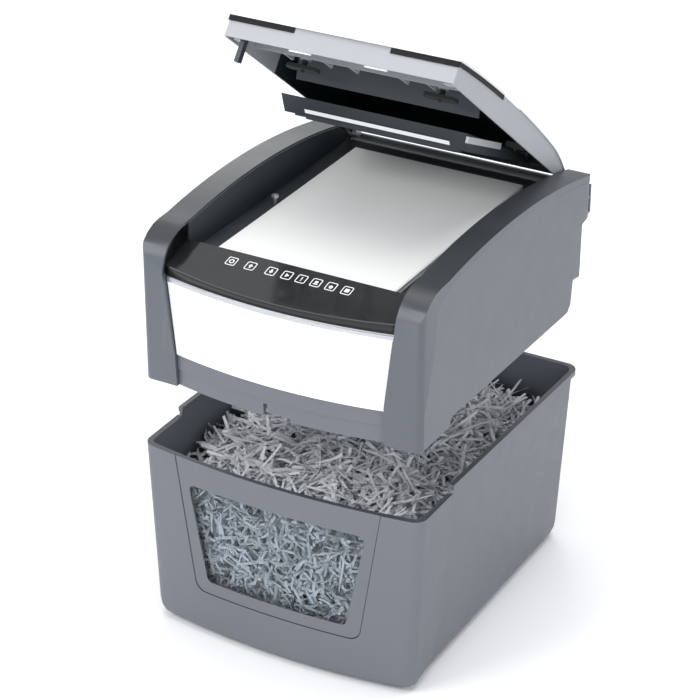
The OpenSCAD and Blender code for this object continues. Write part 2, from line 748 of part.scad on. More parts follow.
module drive_motor() {
    x1 = plate_x - eps;
    color([0.35, 0.36, 0.38]) head_place() difference() {
        union() {
            rod_x(motor_at, x1 - 120, x1, motor_r);
            rod_x(motor_at, x1 - 128, x1 - 120, 12);
            block([x1 - 100, x1 - 20], [motor_at[0] - 12, motor_at[0] + 12], [base_z + wall, motor_at[1]]);
        }
        rod_x(motor_at, x1 - 110, x1 + 5, 8);
    }
}
module motor_pinion() {
    color([0.78, 0.76, 0.68]) head_place() union() {
        gear(motor_at, pinion_turn, small_teeth, big_m, train_x, train_x + gear_w, 0);
        rod_x(motor_at, plate_x - 90, train_x + gear_w + 5, 4);
        rod_x(motor_at, plate_x - 80, plate_x - 10, 7.6);
    }
}
module feed_idler() {
    color([0.85, 0.84, 0.78]) head_place() union() {
        gear(idler_at, idler_turn, idler_teeth, gear_m, gear_x, gear_x + gear_w, 0);
        rod_x(idler_at, plate_x - 3, gear_x + gear_w, 3);
    }
}
module feed_shaft() {
    color([0.7, 0.7, 0.72]) head_place() union() {
        gear(feed_at, feed_turn, feed_teeth, gear_m, gear_x, gear_x + gear_w, 0);
        rod_x(feed_at, -plate_x - plate_thick - 2, gear_x + gear_w, 5);
    }
}
module feed_rollers() {
    color([0.12, 0.12, 0.12]) head_place() for (x = [-72, -26, 26, 72])
        difference() {
            rod_x(feed_at, x - 11, x + 11, roller_r);
            rod_x(feed_at, x - 12, x + 12, 5);
            for (a = [0:30:330])
                translate([x - 12, feed_at[0], feed_at[1]]) rotate([a, 0, 0])
                    translate([0, roller_r, 0]) rotate([0, 90, 0]) cylinder(r = 1.2, h = 24);
        }
}

// ---- Electrics ----

module fan_frame() {
    color([0.12, 0.12, 0.13]) head_place() translate([fan_at[0], y_back - 46, fan_at[1]])
        rotate([-90, 0, 0]) difference() {
            translate([-31, -31, 0]) cube([62, 62, 14]);
            difference() {
                translate([0, 0, 3]) cylinder(r = fan_r + 1.4, h = 20);
                cylinder(r = 3, h = 5);
            }
            for (a = [0:90:270]) rotate(a + 45) translate([16, 0, -1]) cylinder(r = 9, h = 6);
        }
}
module fan_rotor() {
    color([0.16, 0.16, 0.17]) head_place() translate([fan_at[0], y_back - 46, fan_at[1]])
        rotate([-90, 0, 0]) translate([0, 0, 5.4]) union() {
            cylinder(r = 11, h = 7.4);
            for (a = [0:51.43:350]) rotate(a) translate([8, 0, 1]) rotate([30, 0, 0])
                translate([0, -1, 0]) cube([fan_r - 9, 1.6, 6.5]);
        }
}
module control_board() {
    color([0.10, 0.30, 0.18]) head_place() union() {
        block([-60, -5], [70, y_back - 60], [base_z + wall + 8, base_z + wall + 9.6]);
        for (x = [-54, -11], y = [76, y_back - 66])
            translate([x, y, base_z + wall]) cylinder(r = 3, h = 8 + eps);
        block([-50, -34], [90, 110], [base_z + wall + 9.5, base_z + wall + 24]);
        block([-26, -14], [84, 100], [base_z + wall + 9.5, base_z + wall + 19]);
    }
}
module power_capacitor() {
    color([0.75, 0.76, 0.78]) head_place() translate([-plate_x + 14, 74, base_z + wall])
        cylinder(r = 13, h = 52);
}
module interlock_switch() {
    color([0.1, 0.1, 0.12]) head_place() difference() {
        block([post_at[0] - 8, post_at[0] + 8], [post_at[1] - 12, post_at[1] + 12],
            [base_z + wall, base_z + wall + 20]);
        translate([post_at[0], post_at[1], base_z]) cylinder(r = 5, h = wall + 15);
    }
}
module interlock_plunger() {
    color([0.8, 0.2, 0.15]) head_place() translate([post_at[0], post_at[1], 8]) union() {
        cylinder(r = 3, h = 16);
        translate([0, 0, 7.4]) cylinder(r = 4.4, h = 2.2);
    }
}

// ---- Lid: drawn about its hinge, s along the lid towards its front edge, n down from its skin ----

// The skin's height over the hinge at s: a crown along its length, and a tail that turns down.
// It runs straight between points one step apart, so that everything under it shares its faces.
lid_step = lid_l / 28;
function skin_curve(q) = skin_up + lid_crown * 4 * q / lid_l * (1 - q / lid_l)
    - skin_tail * pow(max(0, 1 - q / 60), 2);
function skin_at(s) = let (i = max(0, min(27, floor(s / lid_step))), f = s / lid_step - i)
    skin_curve(i * lid_step) * (1 - f) + skin_curve((i + 1) * lid_step) * f;
function between(s0, s1) = [for (i = [0:28]) let (q = i * lid_step) if (q > s0 + 0.01 && q < s1 - 0.01) q];
function lid_line(s0, s1, n) = [for (s = concat([s0], between(s0, s1), [s1])) [-s, skin_at(s) - n]];
function turned(p) = [for (i = [len(p) - 1:-1:0]) p[i]];
module lid_part(x, s, n) {
    along_x(x[0], x[1]) polygon(concat(lid_line(s[0], s[1], n[0]), turned(lid_line(s[0], s[1], n[1]))));
}

grip_hw = 56;
boss_s = lid_l - 16;
rib_at = [lid_l - 20.5, lid_l - 68];
// A side wall runs from the skin down to a straight lower edge, shallow at the hinge
module lid_side_wall(x0, x1) {
    along_x(x0, x1) polygon(concat(lid_line(6.5, lid_l - 2.5, skin_t + 1),
        [[-lid_l + 2.5, skin_up - lid_h], [-6.5, -3]]));
}
module pad_places() {
    for (q = [[-pad_x, pad_s], [pad_x, pad_s], side_pad]) translate([q[0], -q[1], skin_at(q[1])]) children();
}
module lid_frame() {
    hw = lid_hw - 0.8;
    in_hw = hw - 0.6;
    t = 2.4;
    top = skin_t + 1;
    color([0.72, 0.73, 0.74]) lid_place() difference() {
        union() {
            lid_part([-hw, hw], [6, lid_l - 2], [skin_t, skin_t + t]);
            both_sides() lid_side_wall(hw - t, hw - 0.2);
            lid_part([-in_hw, in_hw], [lid_l - 2.2 - t, lid_l - 2.2], [top, lid_h - 0.6]);
            lid_part([-in_hw, in_hw], [6.2, 6.2 + t], [top, 10]);
            lid_part([-in_hw, in_hw], [rib_at[0], rib_at[0] + t], [top, 17]);
            lid_part([-in_hw, in_hw], [rib_at[1], rib_at[1] + t], [top, 20]);
            for (x = [-110, -62, -30, 30, 62, 110])
                lid_part([x - t / 2, x + t / 2], [slot_s + 18, lid_l - 3], [top, 15]);
            both_sides() translate([hw - 11, -boss_s, skin_up - lid_h + 2]) cylinder(r = 6, h = 20);
            pad_places() translate([0, 0, -17.5]) cylinder(r = pad_stem + 3, h = 14);
            for (x = [plate_x0 - 3.6, plate_x1 + 0.6])
                lid_part([x, x + 3], [pivot[0] - 7, pivot[0] + 7], [top, 15]);
        }
        pad_places() translate([0, 0, -24]) cylinder(r = pad_stem + 0.3, h = 18);
        rod_x([-pivot[0], skin_up - pivot[1]], plate_x0 - 5, plate_x1 + 5, pivot_r + run);
        lid_part([-slot_hw, slot_hw], [slot_s - slot_w / 2, slot_s + slot_w / 2], [-5, 12]);
    }
}

module lid_front_skin() {
    color([0.93, 0.94, 0.94]) lid_place()
        lid_part([-lid_hw, lid_hw], [lid_skin_front + 1, lid_l], [0, skin_t]);
}
module lid_rear_skin() {
    color([0.80, 0.81, 0.82]) lid_place() lid_part([-lid_hw, lid_hw], [-5, lid_recess], [0.6, skin_t]);
}
module lid_gloss_edge() {
    t = 0.8;
    color([0.05, 0.05, 0.06]) lid_place() both_sides() union() {
        lid_part([lid_hw - t, lid_hw], [lid_skin_front + 1, lid_l - 1], [skin_t, skin_t + 5]);
        lid_part([grip_hw, lid_hw], [lid_l - 2, lid_l - 1], [skin_t, skin_t + 6]);
    }
}
module lid_latch_tabs() {
    color([0.92, 0.92, 0.90]) lid_place() both_sides()
        lid_part([31.4, 57], [lid_l - 7.2, lid_l - 4.6], [lid_h - 11, lid_h + 1]);
}
module lid_hinge_pins() {
    color([0.7, 0.7, 0.72]) lid_place() both_sides() union() {
        rod_x([0, 0], cheek_in + 2, cheek_in + 17, hinge_r);
        rod_x([0, 0], lid_hw - 9, cheek_in + 2 + eps, hinge_r + 2);
        along_x(lid_hw - 9, lid_hw - 4) polygon([[-9.5, -2], [3, -2], [3, 5], [-9.5, 5]]);
    }
}
module lid_tongue() {
    color([0.22, 0.24, 0.25]) lid_place()
        lid_part([-116.5, -111.5], [lid_l - 16, lid_l - 8], [skin_t + 2.4, 49]);
}
// Dark leaning wall that leads single sheets from the slot down to the rollers. Its foot leans back less than
// the slot's half width, so that it stays outside the reach of the swinging pressure plate
duct_lean = slot_w / 2 - 0.2;
module feed_duct() {
    top = skin_at(slot_s + slot_w / 2 + 2.4) - skin_t - 2.6;
    color([0.20, 0.23, 0.26]) lid_place() along_x(2 - slot_hw, slot_hw - 2) polygon([
        [-slot_s - slot_w / 2, top], [-slot_s + duct_lean, top - 24],
        [-slot_s + duct_lean - 2.4, top - 25],
        [-slot_s - slot_w / 2 - 2.4, top]]);
}
// A sprung foot that steadies the stack: a rounded pad on a stem, with a short tip
module press_pad(x, s, half) {
    lid_place() translate([x, -s, skin_at(s)]) union() {
        translate([0, 0, -28]) hull() {
            translate([-half, 0, 0]) cylinder(r = 7, h = 4);
            translate([half, 0, 0]) cylinder(r = 7, h = 4);
        }
        translate([0, 0, -25]) cylinder(r = pad_stem, h = 13.5);
        translate([0, 0, -31]) cylinder(r = 1.6, h = 4);
    }
}
module left_press_pad() {
    color([0.16, 0.18, 0.20]) press_pad(-pad_x, pad_s, 13);
}
module right_press_pad() {
    color([0.16, 0.18, 0.20]) press_pad(pad_x, pad_s, 13);
}
module side_press_pad() {
    color([0.16, 0.18, 0.20]) press_pad(side_pad[0], side_pad[1], 5);
}

// The plate hangs from its pivot when the lid is open, and folds up into the lid as it closes
module plate_place() {
    at = [0, -pivot[0], skin_up - pivot[1]];
    lid_place() translate(at) rotate([plate_swing, 0, 0]) translate(-at) children();
}
// An outline of (s, n) points on the folded plate, drawn out along x
module plate_form(x, p) {
    along_x(x[0], x[1]) polygon([for (q = p) [-q[0], skin_up - q[1]]]);
}
module pressure_plate() {
    foot = plate_s1 - plate_lean;
    rear = pivot[0] - 6;
    color([0.19, 0.22, 0.25]) plate_place() union() {
        plate_form([plate_x0, plate_x1], [[rear, plate_low - 2.4], [foot, plate_low - 2.4],
            [foot, plate_low], [rear, plate_low]]);
        for (x = [plate_x0, plate_x1 - 2.4])
            plate_form([x, x + 2.4], [[rear, 9], [plate_s1 - 2.4, plate_top], [foot, plate_low],
                [rear, plate_low]]);
        plate_form([plate_x0, plate_x1], [[plate_s1 - 2.4, plate_top], [plate_s1, plate_top],
            [foot, plate_low], [foot - 2.6, plate_low]]);
        plate_form([plate_x0 + 12, plate_x1 - 12], [[foot - 10, plate_low - 1], [foot - 1, plate_low - 1],
            [foot - 2, plate_low + 1.8], [foot - 10, plate_low + 1.8]]);
        plate_form([plate_x0 + 22, plate_x1 - 22], [[foot - 34, plate_low - 1], [foot - 9, plate_low - 1],
            [foot - 10, plate_low + 3.5], [foot - 34, plate_low + 3.5]]);
        rod_x([-pivot[0], skin_up - pivot[1]], plate_x0 - 4, plate_x1 + 4, pivot_r);
    }
}
module slot_guide() {
    lean = plate_lean / (plate_low - plate_top);
    n0 = plate_low - 7;
    color([0.90, 0.91, 0.92]) plate_place() plate_form([plate_x0 + 27, plate_x1 - 21],
        [for (q = [[0, 0], [1.4, 0], [1.4, 4], [0, 4]])
            [plate_s1 - (n0 - plate_top + q[1]) * lean + q[0] + 0.02, n0 + q[1]]]);
}
module plate_link() {
    color([0.45, 0.47, 0.49]) plate_place() plate_form([plate_x1, plate_x1 + 3],
        [[plate_s1 - 92, plate_top + 3], [plate_s1 - 4, plate_top + 3], [plate_s1 - 4, plate_top + 10],
            [plate_s1 - 92, plate_top + 10]]);
}

bin_tub();
bin_front_shell();
window_frame();
bin_window();
bin_feet();
interlock_post();
head_base();
left_side_panel();
right_side_panel();
left_cheek();
right_cheek();
front_housing();
front_panel();
trim_strip();
control_panel();
touch_board();
paper_tray();
sensor_post();
rear_cover();
power_inlet();
rocker_switch();
hinge_brackets();
casing_screws();
left_frame_plate();
right_frame_plate();
tie_rods();
cutter_bearings();
stripper_combs();
front_cutter();
rear_cutter();
front_cutter_gear();
rear_cutter_gear();
reduction_gear();
gearbox_plate();
drive_motor();
motor_pinion();
feed_idler();
feed_shaft();
feed_rollers();
fan_frame();
fan_rotor();
control_board();
power_capacitor();
interlock_switch();
interlock_plunger();
lid_frame();
lid_front_skin();
lid_rear_skin();
lid_gloss_edge();
lid_latch_tabs();
lid_hinge_pins();
lid_tongue();
feed_duct();
left_press_pad();
right_press_pad();
side_press_pad();
pressure_plate();
slot_guide();
plate_link();
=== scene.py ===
"""Looks for the paper shredder: shells, lid, paper, shreds, finishes and the stage."""

import json

import bpy
import numpy as np
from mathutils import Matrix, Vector
from mathutils.geometry import delaunay_2d_cdt


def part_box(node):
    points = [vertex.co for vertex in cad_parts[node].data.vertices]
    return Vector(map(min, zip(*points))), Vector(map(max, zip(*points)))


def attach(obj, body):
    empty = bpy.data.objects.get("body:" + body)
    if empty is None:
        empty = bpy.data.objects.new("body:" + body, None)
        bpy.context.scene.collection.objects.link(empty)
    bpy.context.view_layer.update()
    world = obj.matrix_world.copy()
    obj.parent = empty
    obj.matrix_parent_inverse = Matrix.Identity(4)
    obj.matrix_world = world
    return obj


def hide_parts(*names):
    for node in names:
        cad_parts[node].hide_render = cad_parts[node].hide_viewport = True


bl_info = {
    "name": "Paper Shredder",
    "version": (1, 0, 0),
    "blender": (4, 5, 0),
    "location": "View3D > Sidebar > Shredder",
    "description": "Builds the shells, paper, shreds and finishes of a desk-side paper shredder",
    "category": "Object",
}

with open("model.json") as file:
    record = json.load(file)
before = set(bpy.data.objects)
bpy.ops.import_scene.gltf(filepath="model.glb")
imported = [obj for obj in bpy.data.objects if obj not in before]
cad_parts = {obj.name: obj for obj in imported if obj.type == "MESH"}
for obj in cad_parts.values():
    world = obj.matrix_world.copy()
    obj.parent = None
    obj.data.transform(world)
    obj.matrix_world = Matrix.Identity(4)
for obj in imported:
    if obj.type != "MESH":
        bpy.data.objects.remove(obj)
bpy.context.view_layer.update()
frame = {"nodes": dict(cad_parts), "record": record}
MM = 0.001


def low(node):
    """Lowest corner of a CAD node, in millimetres."""
    return np.array(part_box(node)[0]) / MM


def high(node):
    """Highest corner of a CAD node, in millimetres."""
    return np.array(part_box(node)[1]) / MM


# Heights, depths and widths of the machine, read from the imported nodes
RIM = float(high("bin_front_shell")[2])
FOOT = float(high("bin_feet")[2])
BODY_HW = float(high("bin_tub")[0])
WALL_HW = BODY_HW - 3
HEAD_Z = float(low("left_cheek")[2])
HEAD_BACK = float(high("right_cheek")[1])
BACK = HEAD_BACK - 28
TRAY_HW = float(high("paper_tray")[0])
TRAY_Z = float(low("sensor_post")[2])
PANEL_Y = float(high("control_panel")[1])
FRONT = PANEL_Y - 46
COLLAR = FRONT + 66
BULGE = 15
HINGE = np.array([0, BACK + 15.5, HEAD_Z + 141.5])
LID_TILT = np.radians(39)
PAPER_FRONT = PANEL_Y + 12.3
HEAP_TOP = RIM - 22
SHELL = 9.0
CORNER_R, BACK_R, DRAFT = 9.0, 16.0, 10.0


# ---- Surfaces ----


def new_object(name, points, faces, body, materials, index=None, smooth=True):
    """Puts arrays of points (in millimetres) and faces into a mesh, and lets it ride on a body."""
    mesh = bpy.data.meshes.new(name)
    corners = [f for group in faces for f in np.asarray(group).tolist()]
    mesh.from_pydata((np.asarray(points) * MM).tolist(), [], corners)
    mesh.polygons.foreach_set("use_smooth", np.full(len(mesh.polygons), smooth))
    for m in materials:
        mesh.materials.append(m)
    if index is not None:
        mesh.polygons.foreach_set("material_index", np.asarray(index, np.int32))
    mesh.validate()
    mesh.update()
    piece = bpy.data.objects.new(name, mesh)
    bpy.context.scene.collection.objects.link(piece)
    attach(piece, body)
    return piece


def sharpen(piece, degrees=38):
    """Splits the shading where faces meet at more than the angle, by marking those edges sharp."""
    mesh = piece.data
    mesh.set_sharp_from_angle(angle=np.radians(degrees))


def grid_faces(rows, cols, closed=False, start=0):
    """Quads of a rows by cols grid of points; a closed grid joins its last column to its first."""
    r = np.arange(rows - 1)[:, None]
    c = np.arange(cols if closed else cols - 1)[None, :]
    d = (c + 1) % cols
    quads = np.stack([r * cols + c, r * cols + d, (r + 1) * cols + d, (r + 1) * cols + c], -1)
    return (start + quads).reshape(-1, 4)


def resampled(points, step, closed=True):
    """Points a step apart along a polyline, keeping its corners."""
    p = np.asarray(points, float)
    q = np.vstack([p, p[:1]]) if closed else p
    out = []
    for a, b in zip(q[:-1], q[1:]):
        n = max(1, int(np.ceil(np.linalg.norm(b - a) / step)))
        out.append(a + (b - a) * (np.arange(n) / n)[:, None])
    if not closed:
        out.append(q[-1:])
    return np.vstack(out)


def rounded(points, radii, n=8):
    """A polygon's corners rounded: each corner gives way to an arc of n + 1 points tangent to its sides."""
    p = np.asarray(points, float)
    radii = np.broadcast_to(np.asarray(radii, float), len(p))
    out = []
    for i, (b, r) in enumerate(zip(p, radii)):
        u, v = p[i - 1] - b, p[(i + 1) % len(p)] - b
        u, v = u / np.linalg.norm(u), v / np.linalg.norm(v)
        if r <= 0:
            out.append(b[None])
            continue
        half = np.arccos(np.clip(u @ v, -1, 1)) / 2
        c = b + (u + v) / np.linalg.norm(u + v) * r / np.sin(half)
        t = r / np.tan(half)
        a0, a1 = [np.arctan2(*(b + w * t - c)[::-1]) for w in (u, v)]
        turn = (a1 - a0 + 3 * np.pi) % (2 * np.pi) - np.pi
        a = a0 + turn * np.linspace(0, 1, n + 1)
        out.append(c + r * np.stack([np.cos(a), np.sin(a)], -1))
    return np.vstack(out)


def area(loop):
    """Signed area of a loop: positive when it runs anticlockwise."""
    x, y = loop[:, 0], loop[:, 1]
    return 0.5 * np.sum(x * np.roll(y, -1) - y * np.roll(x, -1))


def within(points, loop):
    """Which points lie inside a loop, by the parity of edge crossings."""
    x, y = points[:, 0][:, None], points[:, 1][:, None]
    a, b = loop, np.roll(loop, -1, 0)
    cross = (a[:, 1] > y) != (b[:, 1] > y)
    with np.errstate(divide="ignore", invalid="ignore"):
        at = a[:, 0] + (y - a[:, 1]) * (b[:, 0] - a[:, 0]) / (b[:, 1] - a[:, 1])
    return (np.sum(cross & (x < at), 1) % 2) == 1


def filled(loops, step):
    """Triangles that fill the first loop outside the others, over their points and a staggered grid."""
    every = np.vstack(loops)
    lo, hi = loops[0].min(0), loops[0].max(0)
    xs, ys = np.arange(lo[0] + step / 2, hi[0], step), np.arange(lo[1] + step / 2, hi[1], step)
    gx, gy = np.meshgrid(xs, ys)
    gx = gx + (np.arange(len(ys)) % 2)[:, None] * step / 2
    inner = np.stack([gx.ravel(), gy.ravel()], -1)
    keep = within(inner, loops[0])
    for hole in loops[1:]:
        keep &= ~within(inner, hole)
    inner = inner[keep]
    if len(inner):
        gap = np.min(np.linalg.norm(inner[:, None] - every[None], axis=2), 1)
        inner = inner[gap > step * 0.45]
    points = np.vstack([every, inner])
    edges, start = [], 0
    for loop in loops:
        i = np.arange(len(loop))
        edges.append(np.stack([start + i, start + (i + 1) % len(loop)], -1))
        start += len(loop)
    made, _, faces, source, _, _ = delaunay_2d_cdt([tuple(p) for p in points.tolist()],
        [tuple(e) for e in np.vstack(edges).tolist()], [], 0, 1e-6, True)
    made = np.array([tuple(p) for p in made])
    tris = np.array([f for f in faces if len(f) == 3])
    centre = made[tris].mean(1)
    keep = within(centre, loops[0])
    for hole in loops[1:]:
        keep &= ~within(centre, hole)
    tris = tris[keep]
    turned = np.cross(made[tris[:, 1]] - made[tris[:, 0]], made[tris[:, 2]] - made[tris[:, 0]]) < 0
    tris[turned] = tris[turned][:, ::-1]
    first = np.full(len(points), -1)
    for k, s in enumerate(source):
        first[s] = k
    return made, tris, first


def weld(piece, distance=1e-5):
    """Joins points that lie on each other, so that seams are closed."""
    import bmesh

    bm = bmesh.new()
    bm.from_mesh(piece.data)
    bmesh.ops.remove_doubles(bm, verts=bm.verts, dist=distance)
    bmesh.ops.dissolve_degenerate(bm, edges=bm.edges, dist=1e-6)
    bm.to_mesh(piece.data)
    bm.free()


def sheet_of(name, grid, thick, body, materials, closed=False, drop=None, bevel=0.0, turn=False):
    """A grid of points made a wall: quads over the grid, less the dropped cells, thickened inwards."""
    rows, cols = grid.shape[:2]
    quads = grid_faces(rows, cols, closed)
    if drop is not None:
        quads = quads[~drop.reshape(-1)]
    if turn:
        quads = quads[:, ::-1]
    piece = new_object(name, grid.reshape(-1, 3), [quads], body, materials)
    weld(piece)
    solid = piece.modifiers.new("wall", "SOLIDIFY")
    solid.thickness = thick * MM
    solid.offset = -1
    solid.use_even_offset = False
    if bevel:
        round_edges(piece, bevel)
    return piece


def round_edges(piece, width, angle=50):
    """Rounds a piece's sharp edges by a width in millimetres."""
    soft = piece.modifiers.new("edges", "BEVEL")
    soft.width = width * MM
    soft.segments = 2
    soft.limit_method = "ANGLE"
    soft.angle_limit = np.radians(angle)
    soft.harden_normals = False
    tidy = piece.modifiers.new("shading", "WEIGHTED_NORMAL")
    tidy.keep_sharp = True


def fine_shell(node, body, material, smooth_under=32, bevel=0.0):
    """A shell that follows a CAD node's form with soft shading and rounded edges: the node's points are read as one
    array, points closer than a thousandth of a millimetre become one, flat areas are joined into single faces,
    and edges that turn by less than the angle are shaded as one surface."""
    import bmesh

    mesh = frame["nodes"][node].data
    points = np.empty(len(mesh.vertices) * 3)
    mesh.vertices.foreach_get("co", points)
    corners = np.empty(len(mesh.loops), np.int32)
    mesh.loops.foreach_get("vertex_index", corners)
    _, first, same = np.unique(np.round(points.reshape(-1, 3) / 1e-6).astype(np.int64), axis=0,
                               return_index=True, return_inverse=True)
    tris = same.reshape(-1)[corners].reshape(-1, 3)
    tris = tris[(tris[:, 0] != tris[:, 1]) & (tris[:, 1] != tris[:, 2]) & (tris[:, 0] != tris[:, 2])]
    piece = new_object("shell_" + node, points.reshape(-1, 3)[first] / MM, [tris], body, [material])
    bm = bmesh.new()
    bm.from_mesh(piece.data)
    bmesh.ops.dissolve_limit(bm, angle_limit=np.radians(0.3), verts=bm.verts, edges=bm.edges)
    bmesh.ops.triangulate(bm, faces=[f for f in bm.faces if len(f.verts) > 4])
    bm.to_mesh(piece.data)
    bm.free()
    sharpen(piece, smooth_under)
    if bevel:
        round_edges(piece, bevel, smooth_under)
    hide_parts(node)
    return piece


def gloss_band():
    """The black front lip of the control panel: it follows the front's parabola half a millimetre outside the
    panel's own lip, and its height runs from the silver trim up to the panel's face; its top edge is rounded."""
    half = TRAY_HW - 1.2
    x = np.linspace(-half, half, 90)
    y = front_line(x) + 0.9
    top = HEAD_Z + 151 - 14 / 60 * (PANEL_Y - y) - 0.3
    turns = np.linspace(0, np.pi / 2, 6)
    rows = [np.stack([x, y, np.full_like(x, HEAD_Z + 128.6)], -1)]
    rows += [np.stack([x, y + 1.6 * (1 - np.cos(t)), top - 1.6 * (1 - np.sin(t))], -1) for t in turns]
    grid = np.array(rows)
    piece = sheet_of("gloss_band", grid, 0.5, "head", [FINISHES["gloss_lip"]])
    return piece


# ---- Shapes of this machine ----


def plan_lines(n_front=121, n_arc=14, n_side=60, n_back=40):
    """The bin's outline in plan at the floor and at the rim, with the same points on both: the front bulges as a
    parabola over its half width, and arcs join it to the sides and the back. Starts at the back's middle."""

    def outline(hw, back):
        rf, rb = CORNER_R, BACK_R
        t = np.linspace(-1, 1, n_front)
        front = np.stack([(hw - rf) * t, np.full(n_front, FRONT)], -1)
        a = np.linspace(0, np.pi / 2, n_arc)[1:]
        corner = np.stack([hw - rf + rf * np.sin(a), FRONT + rf - rf * np.cos(a)], -1)
        side = np.stack([np.full(n_side, hw), np.linspace(FRONT + rf, back - rb, n_side + 1)[1:]], -1)
        a = np.linspace(0, np.pi / 2, n_arc)[1:]
        back_arc = np.stack([hw - rb + rb * np.cos(a), back - rb + rb * np.sin(a)], -1)
        half_back = np.stack([np.linspace(hw - rb, 0, n_back)[1:], np.full(n_back - 1, back)], -1)
        right = np.vstack([corner, side, back_arc, half_back])
        left = right[:-1][::-1] * [-1, 1]
        loop = np.vstack([half_back[-1:], left, front, right[:-1]])
        bulge = BULGE * (1 - (loop[:, 0] / hw) ** 2)
        nose = (loop[:, 1] < FRONT + rf + 0.01)
        loop[:, 1] -= np.where(nose, bulge, 0)
        return loop

    return outline(WALL_HW - DRAFT, BACK - 9), outline(WALL_HW, BACK)


PLAN_FLOOR, PLAN_RIM = plan_lines()


def plan_normals(line):
    """Outward normals of a closed plan outline that runs anticlockwise, from the points on either side."""
    d = np.roll(line, -1, 0) - np.roll(line, 1, 0)
    n = np.stack([d[:, 1], -d[:, 0]], -1)
    return n / np.linalg.norm(n, axis=1)[:, None]


NORMALS = plan_normals(PLAN_RIM)
RIM_STEPS = np.diff(np.vstack([PLAN_RIM, PLAN_RIM[:1]]), axis=0)
LENGTHS = np.concatenate([[0], np.cumsum(np.linalg.norm(RIM_STEPS, axis=1))])
MIDDLE = LENGTHS[-1] / 2


def tuck(z):
    """How far the bin's wall draws in near the floor: a fourth power that fades out 20 mm up."""
    return 12 * np.clip(1 - (z - FOOT) / 20, 0, 1) ** 4


def bin_skin(u, z, depth):
    """A point on the bin's outside: u runs along the rim's outline from the middle of the front, z is the height,
    and depth is how far in. Between floor and rim the outline is a straight blend of the two."""
    at = (np.asarray(u) + MIDDLE) % LENGTHS[-1]
    k = np.clip(np.asarray(z) / RIM, 0, 1.06)
    ring = lambda values: np.interp(at, LENGTHS, np.concatenate([values, values[:1]]))
    x = ring(PLAN_FLOOR[:, 0]) * (1 - k) + ring(PLAN_RIM[:, 0]) * k
    y = ring(PLAN_FLOOR[:, 1]) * (1 - k) + ring(PLAN_RIM[:, 1]) * k
    d = np.asarray(depth) + tuck(np.asarray(z))
    height = np.asarray(z, float) + 0 * x
    return np.stack([x - ring(NORMALS[:, 0]) * d, y - ring(NORMALS[:, 1]) * d, height], -1)


def front_line(x, half=134.0):
    """The head's front in plan: a parabola that bulges 15 mm beyond the corners of the white panel."""
    return FRONT - BULGE * (1 - (x / half) ** 2)


ON_SIDE = PLAN_RIM[:, 0] >= WALL_HW - 1e-6
ON_CORNER = (PLAN_RIM[:, 0] > WALL_HW - CORNER_R) & (PLAN_RIM[:, 1] < 0)
SIDE_POINTS = np.where(ON_SIDE | ON_CORNER)[0]


def along_side(y):
    """Length along the rim's outline, from the middle of the front, at which its right side reaches y."""
    return np.interp(y, PLAN_RIM[SIDE_POINTS, 1], LENGTHS[:-1][SIDE_POINTS] - MIDDLE)


def shell_seams():
    """The dark joint line where the front shell ends on the bin's sides: a narrow strip along the joint's path in
    side view, a twentieth of a millimetre outside the drafted wall."""
    corners = [(COLLAR + 0.2, RIM - 1), (COLLAR - 9, 100), (COLLAR - 23, 24), (FRONT + 22, 13)]
    path = resampled(np.array(corners), 6, False)
    ahead = np.gradient(path, axis=0)
    across = np.stack([-ahead[:, 1], ahead[:, 0]], -1) / np.linalg.norm(ahead, axis=1)[:, None]
    for side, name in ((1, "right_seam"), (-1, "left_seam")):
        rows = []
        for offset in (-0.5, 0.5):
            line = path + across * offset
            u, z = along_side(line[:, 0]), line[:, 1]
            rows.append(bin_skin(u, z, np.full(len(u), -0.25)) * [side, 1, 1])
        sheet_of(name, np.array(rows), 0.2, "bin", [FINISHES["dark_liner"]], turn=side < 0)


# ---- Finishes ----


def group_tree(name, inputs, outputs):
    """An empty shader node group with the named inputs (name, kind, default) and outputs (name, kind)."""
    tree = bpy.data.node_groups.new(name, "ShaderNodeTree")
    for label, kind, default in inputs:
        socket = tree.interface.new_socket(name=label, in_out="INPUT", socket_type="NodeSocket" + kind)
        socket.default_value = default
    for label, kind in outputs:
        tree.interface.new_socket(name=label, in_out="OUTPUT", socket_type="NodeSocket" + kind)
    return tree, tree.nodes.new("NodeGroupInput"), tree.nodes.new("NodeGroupOutput")


def add_math(tree, kind, a, b=None, clamp=False):
    """A Math node; a and b are sockets or numbers."""
    node = tree.nodes.new("ShaderNodeMath")
    node.operation = kind
    node.use_clamp = clamp
    for socket, value in zip(node.inputs, (a, b)):
        if value is None:
            continue
        if isinstance(value, (int, float)):
            socket.default_value = value
        else:
            tree.links.new(value, socket)
    return node.outputs[0]


def noise(tree, vector, scale, detail=3.0, rough=0.5):
    """A Noise texture on the given coordinates."""
    node = tree.nodes.new("ShaderNodeTexNoise")
    node.inputs["Scale"].default_value = scale
    node.inputs["Detail"].default_value = detail
    node.inputs["Roughness"].default_value = rough
    tree.links.new(vector, node.inputs["Vector"])
    return node


def object_coordinates(tree):
    """Object coordinates, in metres."""
    return tree.nodes.new("ShaderNodeTexCoord").outputs["Object"]


